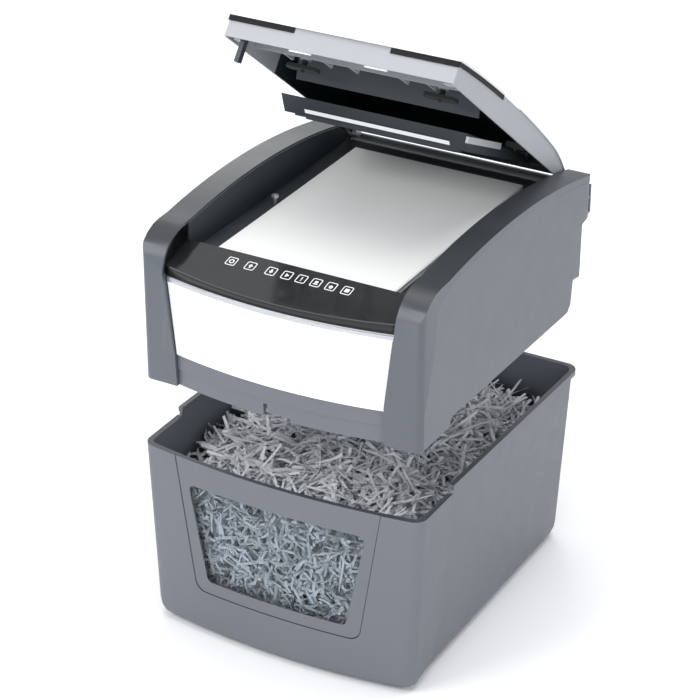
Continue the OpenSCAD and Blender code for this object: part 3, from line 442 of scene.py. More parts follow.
def moulded_group():
    """Moulded plastic: a soft mottle over the colour, fine grain as height, uneven roughness, and painted shade
    that darkens faces turned up.
    """
    tree, a, b = group_tree("moulded", [("Colour", "Color", (0.5, 0.5, 0.5, 1)), ("Mottle", "Float", 0.06),
        ("Grain size", "Float", 900.0), ("Roughness", "Float", 0.5), ("Dust", "Float", 0.06),
        ("Top shade", "Float", 0.0)],
        [("Colour", "Color"), ("Roughness", "Float"), ("Height", "Float")])
    at = object_coordinates(tree)
    cloud = noise(tree, at, 9, 4)
    fine = noise(tree, at, 900, 2, 0.6)
    tree.links.new(a.outputs["Grain size"], fine.inputs["Scale"])
    smear = noise(tree, at, 38, 5, 0.65)
    centred = add_math(tree, "SUBTRACT", cloud.outputs["Fac"], 0.5)
    swing = add_math(tree, "MULTIPLY", centred, a.outputs["Mottle"])
    swing = add_math(tree, "ADD", add_math(tree, "MULTIPLY", swing, 2.0), 1.0)
    facing = tree.nodes.new("ShaderNodeNewGeometry")
    up = tree.nodes.new("ShaderNodeSeparateXYZ")
    tree.links.new(facing.outputs["Normal"], up.inputs[0])
    # Painted shade: faces turned up get darker by the input's amount, more as the normal turns up past 0.35.
    level = add_math(tree, "MULTIPLY", add_math(tree, "SUBTRACT", up.outputs["Z"], 0.35), 2.2, True)
    shade = add_math(tree, "SUBTRACT", 1.0, add_math(tree, "MULTIPLY", level, a.outputs["Top shade"]))
    swing = add_math(tree, "MULTIPLY", swing, shade)
    scale = tree.nodes.new("ShaderNodeVectorMath")
    scale.operation = "SCALE"
    tree.links.new(a.outputs["Colour"], scale.inputs[0])
    tree.links.new(swing, scale.inputs["Scale"])
    dust = tree.nodes.new("ShaderNodeMix")
    dust.data_type = "RGBA"
    dust.inputs["B"].default_value = (0.62, 0.62, 0.60, 1)
    settle = add_math(tree, "MULTIPLY", add_math(tree, "MAXIMUM", up.outputs["Z"], 0.0),
                      add_math(tree, "MULTIPLY", smear.outputs["Fac"], a.outputs["Dust"]))
    tree.links.new(settle, dust.inputs["Factor"])
    tree.links.new(scale.outputs[0], dust.inputs["A"])
    tree.links.new(dust.outputs["Result"], b.inputs["Colour"])
    rough = add_math(tree, "MULTIPLY", add_math(tree, "SUBTRACT", smear.outputs["Fac"], 0.5), 0.16)
    tree.links.new(add_math(tree, "ADD", a.outputs["Roughness"], rough, True), b.inputs["Roughness"])
    tree.links.new(fine.outputs["Fac"], b.inputs["Height"])
    return tree


def brushed_group():
    """Machined metal: streaks along one axis in colour and height, with darker stains between them."""
    tree, a, b = group_tree("machined", [("Colour", "Color", (0.6, 0.6, 0.6, 1)), ("Roughness", "Float", 0.35),
        ("Along", "Float", 40.0), ("Across", "Float", 900.0)],
        [("Colour", "Color"), ("Roughness", "Float"), ("Height", "Float")])
    at = object_coordinates(tree)
    stretch = tree.nodes.new("ShaderNodeCombineXYZ")
    tree.links.new(a.outputs["Along"], stretch.inputs["X"])
    tree.links.new(a.outputs["Across"], stretch.inputs["Y"])
    tree.links.new(a.outputs["Across"], stretch.inputs["Z"])
    pull = tree.nodes.new("ShaderNodeVectorMath")
    pull.operation = "MULTIPLY"
    tree.links.new(at, pull.inputs[0])
    tree.links.new(stretch.outputs[0], pull.inputs[1])
    streak = noise(tree, pull.outputs[0], 1.0, 2)
    stain = noise(tree, at, 24, 4)
    shade = add_math(tree, "ADD", add_math(tree, "MULTIPLY", streak.outputs["Fac"], 0.28),
                     add_math(tree, "MULTIPLY", stain.outputs["Fac"], 0.30))
    shade = add_math(tree, "ADD", shade, 0.72)
    scale = tree.nodes.new("ShaderNodeVectorMath")
    scale.operation = "SCALE"
    tree.links.new(a.outputs["Colour"], scale.inputs[0])
    tree.links.new(shade, scale.inputs["Scale"])
    tree.links.new(scale.outputs[0], b.inputs["Colour"])
    rough = add_math(tree, "MULTIPLY", stain.outputs["Fac"], 0.25)
    tree.links.new(add_math(tree, "ADD", a.outputs["Roughness"], rough, True), b.inputs["Roughness"])
    tree.links.new(streak.outputs["Fac"], b.inputs["Height"])
    return tree


def linear(colour):
    """A display colour from 0 to 255 as linear light, with alpha 1."""
    c = np.array(colour, float) / 255
    return (*np.where(c <= 0.04045, c / 12.92, ((c + 0.055) / 1.055) ** 2.4).tolist(), 1.0)


FINISHES = {}


def finish(name, group, colour, bump=0.02, metal=0.0, coat=0.0, specular=0.5, **values):
    """A Principled material fed by one of the shared groups, with a small bump from its height."""
    m = bpy.data.materials.new(name)
    m.use_nodes = True
    tree = m.node_tree
    tree.nodes.clear()
    out = tree.nodes.new("ShaderNodeOutputMaterial")
    bsdf = tree.nodes.new("ShaderNodeBsdfPrincipled")
    tree.links.new(bsdf.outputs[0], out.inputs["Surface"])
    bsdf.inputs["Metallic"].default_value = metal
    bsdf.inputs["Coat Weight"].default_value = coat
    bsdf.inputs["Coat Roughness"].default_value = 0.08
    bsdf.inputs["Specular IOR Level"].default_value = specular
    node = tree.nodes.new("ShaderNodeGroup")
    node.node_tree = group
    node.inputs["Colour"].default_value = linear(colour)
    for key, value in values.items():
        node.inputs[key.replace("_", " ")].default_value = value
    tree.links.new(node.outputs["Colour"], bsdf.inputs["Base Color"])
    tree.links.new(node.outputs["Roughness"], bsdf.inputs["Roughness"])
    lift = tree.nodes.new("ShaderNodeBump")
    lift.inputs["Strength"].default_value = 0.5
    lift.inputs["Distance"].default_value = bump * MM
    tree.links.new(node.outputs["Height"], lift.inputs["Height"])
    tree.links.new(lift.outputs[0], bsdf.inputs["Normal"])
    m.diffuse_color = linear(colour)
    FINISHES[name] = m
    return m


def glass(name, colour, rough):
    """Clear plastic: full transmission, with a faint haze of uneven roughness."""
    m = bpy.data.materials.new(name)
    m.use_nodes = True
    tree = m.node_tree
    bsdf = tree.nodes["Principled BSDF"]
    bsdf.inputs["Base Color"].default_value = linear(colour)
    bsdf.inputs["Transmission Weight"].default_value = 1.0
    bsdf.inputs["IOR"].default_value = 1.12
    bsdf.inputs["Metallic"].default_value = 0.0
    haze = noise(tree, object_coordinates(tree), 30, 4)
    level = add_math(tree, "MULTIPLY", haze.outputs["Fac"], 0.12)
    tree.links.new(add_math(tree, "ADD", level, rough, True), bsdf.inputs["Roughness"])
    FINISHES[name] = m
    return m


def build_finishes(colours):
    """Every finish of the machine, built once, by the record's slot names and for the new pieces."""
    if FINISHES:
        return
    moulded, machined = moulded_group(), brushed_group()
    shell = display(colours.shell)
    # The grey shell and the cheeks get painted shade on their faces that point up.
    finish("shell_grey", moulded, shell, 0.06, Roughness=0.46, Mottle=0.05, Dust=0.02, Top_shade=0.62)
    finish("dark_shell", moulded, display(colours.cheeks), 0.06,
           Roughness=0.36, Mottle=0.06, Dust=0.02, Top_shade=0.72)
    finish("panel_white", moulded, display(colours.panel), 0.01,
           coat=0.5, Roughness=0.25, Mottle=0.015, Dust=0.03)
    finish("silver_trim", machined, (190, 192, 196), 0.01, metal=0.9, Roughness=0.22)
    finish("gloss_black", moulded, (22, 23, 25), 0.004, coat=0.9, Roughness=0.12, Mottle=0.05, Dust=0.02)
    finish("gloss_lip", moulded, (9, 9, 10), 0.002,
           coat=0.25, Roughness=0.32, Mottle=0.05, Dust=0.0, specular=0.3)
    finish("gloss_edge", moulded, (10, 10, 11), 0.004, Roughness=0.5, Mottle=0.05, Dust=0.0, specular=0.2)
    finish("tray_slate", moulded, (40, 48, 54), 0.07, Roughness=0.5, Mottle=0.08, Dust=0.06)
    finish("lid_grey", moulded, (186, 190, 193), 0.05, Roughness=0.45, Mottle=0.04, Dust=0.03)
    finish("lid_white", moulded, (238, 239, 239), 0.02, coat=0.3, Roughness=0.3, Mottle=0.015, Dust=0.02)
    finish("black_plastic", moulded, (30, 31, 33), 0.06, Roughness=0.5, Mottle=0.1, Dust=0.08)
    finish("black_rubber", moulded, (26, 27, 28), 0.12, Roughness=0.78, Mottle=0.12, Dust=0.03)
    finish("cutter_steel", machined, (148, 150, 154), 0.03, metal=1.0, Roughness=0.28)
    finish("zinc_steel", machined, (196, 198, 200), 0.02, metal=1.0, Roughness=0.34)
    finish("bearing_bronze", machined, (172, 132, 84), 0.02, metal=1.0, Roughness=0.36)
    finish("gear_nylon", moulded, (222, 218, 204), 0.05, Roughness=0.42, Mottle=0.06, Dust=0.08)
    finish("motor_case", machined, (150, 152, 156), 0.04, metal=0.9, Roughness=0.42)
    finish("board_green", moulded, (34, 84, 58), 0.03, coat=0.3, Roughness=0.34, Mottle=0.16, Dust=0.05)
    finish("bare_aluminium", machined, (206, 208, 210), 0.02, metal=1.0, Roughness=0.3)
    finish("signal_red", moulded, (178, 36, 32), 0.04, Roughness=0.42, Mottle=0.06, Dust=0.04)
    finish("dark_liner", moulded, (34, 41, 46), 0.08, Roughness=0.55, Mottle=0.08, Dust=0.0)
    # The lid frame gets painted shade on its inside, behind the feed slot.
    lid_frame_painted_shade(finish("lid_frame", moulded, (156, 159, 163), 0.05,
                    Roughness=0.45, Mottle=0.04, Dust=0.0), (34, 41, 46))
    # The lid skin gets painted shade on its underside.
    painted_under_shade(finish("lid_skin", moulded, (208, 210, 212), 0.02,
                      coat=0.3, Roughness=0.3, Mottle=0.015, Dust=0.0),
               (34, 41, 46))
    glass("window_clear", (214, 219, 224), 0.03)
    sheet_finish("paper", display(colours.paper), 0.03, 0.02)
    sheet_finish("shreds", display(colours.shreds), 0.34, 0.10)
    printed_finish("icons")


def lid_frame_painted_shade(material, colour):
    """Paints shade into the inside of the lid frame behind the feed slot, by turning it dark: the mask is where the
    distance from the hinge along the tilted lid is under 224 mm, between the side walls and under the skin."""
    tree = material.node_tree
    bsdf = next(node for node in tree.nodes if node.type == "BSDF_PRINCIPLED")
    base = bsdf.inputs["Base Color"].links[0].from_socket
    tilt = tree.nodes.new("ShaderNodeMapping")
    tilt.vector_type = "TEXTURE"
    tilt.inputs["Location"].default_value = tuple(HINGE * MM)
    tilt.inputs["Rotation"].default_value = (-LID_TILT, 0, 0)
    tree.links.new(object_coordinates(tree), tilt.inputs["Vector"])
    parts = tree.nodes.new("ShaderNodeSeparateXYZ")
    tree.links.new(tilt.outputs[0], parts.inputs[0])
    behind = add_math(tree, "GREATER_THAN", parts.outputs["Y"], -224 * MM)
    inner = add_math(tree, "LESS_THAN", add_math(tree, "ABSOLUTE", parts.outputs["X"]), 131.2 * MM)
    dark = tree.nodes.new("ShaderNodeMix")
    dark.data_type = "RGBA"
    dark.inputs["B"].default_value = linear(colour)
    tree.links.new(add_math(tree, "MULTIPLY", behind, inner), dark.inputs["Factor"])
    tree.links.new(base, dark.inputs["A"])
    tree.links.new(dark.outputs["Result"], bsdf.inputs["Base Color"])


def painted_under_shade(material, colour):
    """Paints shade on the underside of the tilted lid's skin, by making it dark: the mask is where the surface's
    normal points away from the lid's own upward direction."""
    tree = material.node_tree
    bsdf = next(node for node in tree.nodes if node.type == "BSDF_PRINCIPLED")
    base = bsdf.inputs["Base Color"].links[0].from_socket
    facing = tree.nodes.new("ShaderNodeNewGeometry")
    along = tree.nodes.new("ShaderNodeVectorMath")
    along.operation = "DOT_PRODUCT"
    along.inputs[1].default_value = (0, np.sin(LID_TILT), np.cos(LID_TILT))
    tree.links.new(facing.outputs["Normal"], along.inputs[0])
    dark = tree.nodes.new("ShaderNodeMix")
    dark.data_type = "RGBA"
    dark.inputs["B"].default_value = linear(colour)
    tree.links.new(add_math(tree, "LESS_THAN", along.outputs["Value"], -0.3), dark.inputs["Factor"])
    tree.links.new(base, dark.inputs["A"])
    tree.links.new(dark.outputs["Result"], bsdf.inputs["Base Color"])


def display(colour):
    """A property's linear colour as a display colour from 0 to 255."""
    c = np.array(colour[:3], float)
    return 255 * np.where(c <= 0.0031308, 12.92 * c, 1.055 * c ** (1 / 2.4) - 0.055)


def sheet_finish(name, colour, spread, fibre):
    """Paper: each strip has its own tone from the shade attribute, with soft fibres as bump."""
    m = bpy.data.materials.new(name)
    m.use_nodes = True
    tree = m.node_tree
    bsdf = tree.nodes["Principled BSDF"]
    tone = tree.nodes.new("ShaderNodeAttribute")
    tone.attribute_name = "shade"
    fibres = noise(tree, object_coordinates(tree), 420, 4, 0.7)
    level = add_math(tree, "MULTIPLY", tone.outputs["Fac"], spread)
    level = add_math(tree, "ADD", level, add_math(tree, "MULTIPLY", fibres.outputs["Fac"], fibre))
    level = add_math(tree, "SUBTRACT", 1.0 + fibre / 2, level)
    scale = tree.nodes.new("ShaderNodeVectorMath")
    scale.operation = "SCALE"
    scale.inputs[0].default_value = linear(colour)[:3]
    tree.links.new(level, scale.inputs["Scale"])
    tree.links.new(scale.outputs[0], bsdf.inputs["Base Color"])
    bsdf.inputs["Roughness"].default_value = 0.85
    lift = tree.nodes.new("ShaderNodeBump")
    lift.inputs["Distance"].default_value = 0.03 * MM
    lift.inputs["Strength"].default_value = 0.5
    tree.links.new(fibres.outputs["Fac"], lift.inputs["Height"])
    tree.links.new(lift.outputs[0], bsdf.inputs["Normal"])
    FINISHES[name] = m
    return m


def printed_finish(name):
    """White ink with a slight unevenness."""
    m = bpy.data.materials.new(name)
    m.use_nodes = True
    tree = m.node_tree
    bsdf = tree.nodes["Principled BSDF"]
    bsdf.inputs["Base Color"].default_value = (0.86, 0.87, 0.88, 1)
    worn = noise(tree, object_coordinates(tree), 700, 3)
    tree.links.new(add_math(tree, "ADD", add_math(tree, "MULTIPLY", worn.outputs["Fac"], 0.2), 0.3),
                   bsdf.inputs["Roughness"])
    FINISHES[name] = m
    return m


# Nodes whose finish differs from their slot's common one
OWN_FINISH = {"lid_gloss_edge": "gloss_edge", "lid_frame": "lid_frame", "lid_front_skin": "lid_skin",
              "lid_rear_skin": "lid_skin"}


def dress(body_names):
    """Gives each CAD node that rides on the named bodies the finish of its own slot in the record."""
    slots = {part["node"]: part["material_slot"] for part in frame["record"]["subparts"]}
    homes = frame["record"]["behaviour"]["bodies"]
    for name, node in frame["nodes"].items():
        if homes_of(name, homes) not in body_names:
            continue
        m = FINISHES[OWN_FINISH.get(name, slots[name])]
        if not node.data.materials:
            node.data.materials.append(m)
        for i in range(len(node.data.materials)):
            node.data.materials[i] = m


def homes_of(node, homes):
    """The body that a node rides on."""
    return next(body for body, members in homes.items() if node in members)


# ---- Paper and shreds ----


def set_shade(piece, values):
    """Stores a tone from 0 to 1 for each corner point of a mesh."""
    layer = piece.data.attributes.new("shade", "FLOAT", "POINT")
    layer.data.foreach_set("value", np.asarray(values, np.float32))


def paper_stack(sizes):
    """A stack of sheets in the tray: each is a thin slab, slid and turned a little at random, whose corners lift
    by the square of the distance from the middle. The top one bows most."""
    rng = np.random.default_rng(11)
    n, w, l = sizes.sheet_count, sizes.paper_width / MM, sizes.paper_length / MM
    pitch = sizes.stack_height / MM / n
    us, vs = np.linspace(-w / 2, w / 2, 15), np.linspace(0, l, 21)
    gu, gv = np.meshgrid(us, vs)
    points, faces, shade = [], [], []
    for i in range(n):
        turn = np.radians(rng.uniform(-0.1, 0.1)) if i < n - 1 else 0.0
        dx, dy = rng.uniform(-2.6, -1.2), rng.uniform(0, 1.6)
        u = gu * np.cos(turn) - gv * np.sin(turn) + dx
        v = gv * np.cos(turn) + gu * np.sin(turn) + dy
        lift = 0.3 * (gu / w * 2) ** 2 + 0.25 * (gv / l * 2 - 1) ** 2
        z = TRAY_Z + 0.3 + i * pitch + lift * i / n
        top = np.stack([u, v + PAPER_FRONT, z + pitch * 0.8], -1).reshape(-1, 3)
        under = np.stack([u, v + PAPER_FRONT, z], -1).reshape(-1, 3)
        rows, cols = gu.shape
        start = sum(len(p) for p in points)
        ring = np.concatenate([np.arange(cols), cols - 1 + cols * np.arange(1, rows),
                               (rows - 1) * cols + np.arange(cols - 2, -1, -1),
                               cols * np.arange(rows - 2, 0, -1)])
        after = np.roll(ring, -1)
        points += [top, under]
        faces += [grid_faces(rows, cols, False, start),
                  grid_faces(rows, cols, False, start + rows * cols)[:, ::-1],
                  start + np.stack([ring + rows * cols, after + rows * cols, after, ring], -1)]
        shade += [np.full(2 * rows * cols, rng.uniform(0, 1))]
    piece = new_object("paper_stack", np.vstack(points), faces, "head",
                       [FINISHES["paper"]], smooth=False)
    set_shade(piece, np.concatenate(shade))
    return piece


def heap_height(x, y):
    """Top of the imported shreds: a dome about 190 mm high, lower at the walls, with slow bumps."""
    r = np.clip(np.hypot(x / 165, (y + 5) / 200), 0, 1.4)
    bumps = 7 * np.sin(x / 31 + 1.1) * np.cos(y / 37) + 5 * np.sin(x / 17 + y / 23)
    return HEAP_TOP - 26 * r ** 2.2 + bumps * np.clip(1.15 - r, 0.15, 1)


def ribbons(name, centres, tilt, sizes, rng, body="bin"):
    """Curled strips of paper: each follows an arc of random curl and twist about its centre, a few quads long, and
    has a second side a fifth of a millimetre below. Every strip is worked out at once as arrays."""
    n, steps = len(centres), 5
    length = rng.gamma(7.0, 6.4, n).clip(16, 80)
    width = sizes.shred_width / MM * rng.uniform(0.8, 1.1, n)
    yaw = rng.uniform(0, 2 * np.pi, n)
    pitch = rng.normal(0, tilt, n)
    roll = rng.normal(0, tilt * 1.3, n)
    curl = rng.normal(0, 1, n) * 0.7
    twist = rng.normal(0, 1, n) * 0.5
    t = np.linspace(-0.5, 0.5, steps + 1)[None]
    bend = curl[:, None] * t
    along = np.cumsum(np.concatenate([np.zeros((n, 1)), np.cos(bend[:, :-1])], 1), 1) / steps - 0.5
    rise = np.cumsum(np.concatenate([np.zeros((n, 1)), np.sin(bend[:, :-1])], 1), 1) / steps
    along, rise = along * length[:, None], (rise - rise.mean(1, keepdims=True)) * length[:, None]
    spin = roll[:, None] + twist[:, None] * t * 2
    side = np.stack([np.zeros_like(spin), np.cos(spin), np.sin(spin)], -1)
    lift = np.stack([np.zeros_like(spin), -np.sin(spin), np.cos(spin)], -1)
    line = np.stack([along, np.zeros_like(along), rise], -1)
    half = (width / 2)[:, None, None]
    corners = np.stack([line - side * half, line + side * half,
                        line + side * half - lift * 0.2, line - side * half - lift * 0.2], 2)
    cy, sy, cp, sp = np.cos(yaw), np.sin(yaw), np.cos(pitch), np.sin(pitch)
    zero = np.zeros(n)
    turn = np.stack([np.stack([cy * cp, -sy, cy * sp], -1), np.stack([sy * cp, cy, sy * sp], -1),
                     np.stack([-sp, zero, cp], -1)], 1)
    corners = np.einsum("nij,nskj->nski", turn, corners) + centres[:, None, None]
    base = (np.arange(n) * (steps + 1) * 4)[:, None, None, None]
    s = (np.arange(steps) * 4)[None, :, None, None]
    k = np.arange(4)[None, None, :, None]
    after = (k + 1) % 4
    quad = np.concatenate([base + s + k, base + s + 4 + k, base + s + 4 + after, base + s + after], -1)
    quad = quad.reshape(-1, 4)
    b = (np.arange(n) * (steps + 1) * 4)[:, None]
    ends = np.vstack([b + np.array([0, 1, 2, 3])[None], b + steps * 4 + np.array([3, 2, 1, 0])[None]])
    keep = inside_bin(corners)
    corners = np.where(keep[..., None], corners, pulled_in(corners))
    piece = new_object(name, corners.reshape(-1, 3), [quad, ends], body,
                       [FINISHES["shreds"]], smooth=False)
    set_shade(piece, np.repeat(rng.uniform(0, 1, n) ** 2, (steps + 1) * 4))
    return piece


def wall_room(z):
    """Half width and the front and back limits inside the bin at a height."""
    k = np.clip(z / RIM, 0, 1)
    return (WALL_HW - DRAFT) * (1 - k) + WALL_HW * k - 5.5, BACK - 9 * (1 - k) - 6


def inside_bin(p):
    """Which points lie inside the bin's walls and below the seated head's base."""
    hw, back = wall_room(p[..., 2])
    nose = FRONT - BULGE * (1 - (p[..., 0] / WALL_HW) ** 2) + SHELL
    return (np.abs(p[..., 0]) < hw) & (p[..., 1] < back) & (p[..., 1] > nose) & (p[..., 2] < RIM - 8)


def pulled_in(p):
    """Points moved onto the inside of the bin's walls."""
    hw, back = wall_room(p[..., 2])
    x = np.clip(p[..., 0], -hw, hw)
    nose = FRONT - BULGE * (1 - (x / WALL_HW) ** 2) + SHELL
    return np.stack([x, np.clip(p[..., 1], nose, back), np.minimum(p[..., 2], RIM - 8)], -1)


def shred_bed():
    """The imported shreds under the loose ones: a closed body from the bin's floor to below the heap's top. In plan
    it is a superellipse, whose sine and cosine are raised to a power below one."""
    t = np.linspace(0, 2 * np.pi, 97)[:-1]
    rings = []
    wave = np.stack([np.cos(t), np.sin(t)], -1)
    around = np.sign(wave) * np.abs(wave) ** 0.35
    levels = [FOOT + 9, FOOT + 40, 90, 130]
    for z in levels:
        hw, back = wall_room(np.array(float(z)))
        front = FRONT + SHELL + 6
        x, y = around[:, 0] * (hw - 8), (front + back) / 2 + around[:, 1] * ((back - front) / 2 - 8)
        rings.append(np.stack([x, y, np.full(len(t), z)], -1))
    for k in np.linspace(1, 0.02, 16):
        hw, back = wall_room(np.array(150.0))
        front = FRONT + SHELL + 6
        x, y = around[:, 0] * (hw - 8) * k, (front + back) / 2 + around[:, 1] * ((back - front) / 2 - 8) * k
        rings.append(np.stack([x, y, heap_height(x, y) - 14], -1))
    rings = np.array(rings)
    top, bottom = rings[-1].mean(0), rings[0].mean(0)
    rows, cols = rings.shape[:2]
    i = np.arange(cols)
    last = (rows - 1) * cols
    lid = np.stack([last + i, last + (i + 1) % cols, np.full(cols, rows * cols)], -1)
    base = np.stack([(i + 1) % cols, i, np.full(cols, rows * cols + 1)], -1)
    points = np.vstack([rings.reshape(-1, 3), top[None], bottom[None]])
    piece = new_object("shred_bed", points, [grid_faces(rows, cols, True), lid, base], "bin",
                       [FINISHES["shreds"]])
    # Painted shade: the bed gets the darkest tone, 0.95, all over, for the depth under and between the loose
    # strips.
    set_shade(piece, np.full(len(points), 0.95))
    return piece


def shreds(sizes):
    """Loose strips in two pieces: the heap's top, and those pressed up behind the window."""
    rng = np.random.default_rng(5)
    n = sizes.shred_count
    hw, back = wall_room(np.array(170.0))
    x, y = rng.uniform(-hw + 12, hw - 12, n), rng.uniform(FRONT + SHELL + 2, back - 12, n)
    z = heap_height(x, y) + rng.uniform(-12, 5, n)
    made = [ribbons("shreds_heap", np.stack([x, y, z], -1), 0.30, sizes, rng)]
    n = int(sizes.shred_count * 0.45)
    x, z = rng.uniform(-125, 125, n), rng.uniform(34, 172, n)
    y = FRONT - BULGE * (1 - (x / WALL_HW) ** 2) + SHELL + 2 + rng.gamma(2.0, 5.0, n)
    made.append(ribbons("shreds_at_window", np.stack([x, y, z], -1), 0.75, sizes, rng))
    return made


# ---- Printed symbols ----


def block(x0, y0, x1, y1):
    """Corners of an upright rectangle, anticlockwise."""
    return [(x0, y0), (x1, y0), (x1, y1), (x0, y1)]


def stroke_shapes(kind):
    """Outlines of a generic symbol in a unit square, as loops of points: ring, arrow up, arrow down, wedge, bar,
    tray, drop or open box."""
    a = np.linspace(0, 2 * np.pi, 25)[:-1]
    ring = np.stack([np.cos(a), np.sin(a)], -1)
    shapes = {
        "ring": [ring * 0.30, ring[::-1] * 0.19],
        "up": [[(-0.28, -0.02), (0.28, -0.02), (0, 0.32)], block(-0.1, -0.3, 0.1, -0.06)],
        "down": [[(-0.28, 0.02), (0, -0.32), (0.28, 0.02)], block(-0.1, 0.06, 0.1, 0.3)],
        "wedge": [[(-0.2, -0.28), (0.28, 0), (-0.2, 0.28)]],
        "bar": [block(-0.06, -0.1, 0.06, 0.3), block(-0.06, -0.3, 0.06, -0.18)],
        "tray": [block(-0.3, -0.28, 0.3, -0.16), block(-0.2, -0.08, 0.2, 0.26)],
        "drop": [ring * 0.24 + [0, -0.08]],
        "box": [block(-0.28, -0.26, 0.28, 0.26)],
    }
    return [np.array(shape) for shape in shapes[kind]]


def raised_shapes(name, loops_at, thick, body, finish_name):
    """Thin raised shapes on the control panel: each entry is a list of loops (an outline and its holes), filled and
    given a height; the panel falls 14 mm over 60 mm towards the front."""
    points, faces, count = [], [], 0
    for loops in loops_at:
        loops = [(loop if (area(loop) > 0) == (i == 0) else loop[::-1]) for i, loop in enumerate(loops)]
        made, tris, _ = filled(loops, 4.0)
        flat = np.zeros(len(made))
        points += [on_panel(made, flat + thick), on_panel(made, flat)]
        faces += [count + tris, count + len(made) + tris[:, ::-1]]
        count += 2 * len(made)
        for loop in loops:
            n = len(loop)
            points += [on_panel(loop, np.full(n, thick)), on_panel(loop, np.zeros(n))]
            i = np.arange(n)
            faces.append(count + np.stack([(i + 1) % n, i, n + i, n + (i + 1) % n], -1))
            count += 2 * n
    piece = new_object(name, np.vstack(points), faces, body, [FINISHES[finish_name]], smooth=False)
    weld(piece)
    return piece


def on_panel(at, up):
    """Points of the control panel's face, raised by up."""
    return np.stack([at[:, 0], at[:, 1], HEAD_Z + 151 - 14 / 60 * (PANEL_Y - at[:, 1]) + up], -1)


def printed_icons():
    """Eight keys: a rounded square ring, and inside it a generic symbol."""
    places = [(-72.8, "ring"), (-50.0, "up"), (-25.2, "down"), (-6.4, "wedge"), (10.8, "bar"), (28.0, "tray"),
              (45.6, "drop"), (64.1, "box")]
    made = []
    square = np.array([(-0.5, -0.5), (0.5, -0.5), (0.5, 0.5), (-0.5, 0.5)])
    for x, kind in places:
        centre = np.array([x, PANEL_Y - 16.0])
        outer = rounded(square * [11.4, 12.4], 2.0, 5) + centre
        inner = rounded(square * [9.6, 10.6], 1.2, 5) + centre
        made.append([outer, inner[::-1]])
        shapes = stroke_shapes(kind)
        if kind == "ring":
            made.append([shapes[0] * [9.6, 10.6] + centre, shapes[1] * [9.6, 10.6] + centre])
        else:
            made += [[shape * [8.8, 9.8] + centre] for shape in shapes]
    return raised_shapes("panel_symbols", made, 0.12, "head", "icons")


# ---- Stage ----


def soft_light(name, place, target, width, height, power, colour=(1, 1, 1)):
    """A rectangular studio light that faces a point."""
    data = bpy.data.lights.new(name, "AREA")
    data.shape = "RECTANGLE"
    data.size, data.size_y, data.energy, data.color = width, height, power, colour
    lamp = bpy.data.objects.new(name, data)
    lamp.location = place
    lamp.rotation_mode = "QUATERNION"
    lamp.rotation_quaternion = (Vector(target) - Vector(place)).to_track_quat("-Z", "Y")
    bpy.context.scene.collection.objects.link(lamp)
    return lamp


def camera_at(azimuth, elevation, distance, target, lens):
    """The camera on a sphere round a target."""
    data = bpy.data.cameras.new("camera")
    data.lens, data.sensor_width = lens, 36
    data.clip_start, data.clip_end = 0.05, 60
    cam = bpy.data.objects.new("camera", data)
    a, e = np.radians(azimuth), np.radians(elevation)
    back = Vector((np.sin(a) * np.cos(e), -np.cos(a) * np.cos(e), np.sin(e)))
    cam.location = Vector(target) + back * distance
    cam.rotation_mode = "QUATERNION"
    cam.rotation_quaternion = (-back).to_track_quat("-Z", "Y")
    bpy.context.scene.collection.objects.link(cam)
    bpy.context.scene.camera = cam
    return cam


def pale_floor():
    """A wide round floor, as rings of points, with a faint unevenness."""
    t = np.linspace(0, 2 * np.pi, 73)[:-1]
    radii = np.linspace(0.05, 9000, 12)
    grid = np.stack([radii[:, None] * np.cos(t), radii[:, None] * np.sin(t), np.zeros((12, 72))], -1)
    mesh = bpy.data.meshes.new("floor")
    mesh.from_pydata((grid.reshape(-1, 3) * MM).tolist(), [], grid_faces(12, 72, True)[:, ::-1].tolist())
    floor = bpy.data.objects.new("floor", mesh)
    bpy.context.scene.collection.objects.link(floor)
    m = bpy.data.materials.new("floor")
    m.use_nodes = True
    tree = m.node_tree
    bsdf = tree.nodes["Principled BSDF"]
    cloud = noise(tree, object_coordinates(tree), 1.5, 3)
    ramp = tree.nodes.new("ShaderNodeMix")
    ramp.data_type = "RGBA"
    ramp.inputs["A"].default_value = (0.93, 0.93, 0.93, 1)
    ramp.inputs["B"].default_value = (0.96, 0.96, 0.96, 1)
    tree.links.new(cloud.outputs["Fac"], ramp.inputs["Factor"])
    tree.links.new(ramp.outputs["Result"], bsdf.inputs["Base Color"])
    bsdf.inputs["Roughness"].default_value = 0.75
    mesh.materials.append(m)
    return floor


# ---- Settings, operators and panel ----


class ShredderSizes(bpy.types.PropertyGroup):
    """Sizes of the load."""

    paper_width: bpy.props.FloatProperty(name="Paper width", description="Width of a sheet in the tray",
        default=0.210, min=0.1, max=0.22, unit="LENGTH")
    paper_length: bpy.props.FloatProperty(name="Paper length", description="Length of a sheet in the tray",
        default=0.297, min=0.1, max=0.30, unit="LENGTH")
    stack_height: bpy.props.FloatProperty(name="Stack height", description="Thickness of the whole stack",
        default=0.0062, min=0.001, max=0.007, unit="LENGTH")
    sheet_count: bpy.props.IntProperty(name="Sheets", description="Number of sheets modelled in the stack",
        default=14, min=2, max=40)
    shred_width: bpy.props.FloatProperty(name="Strip width", description="Width of one cut strip",
        default=0.0035, min=0.002, max=0.008, unit="LENGTH")
    shred_count: bpy.props.IntProperty(name="Strips", description="Number of loose strips on top of the heap",
        default=4000, min=100, max=4500)


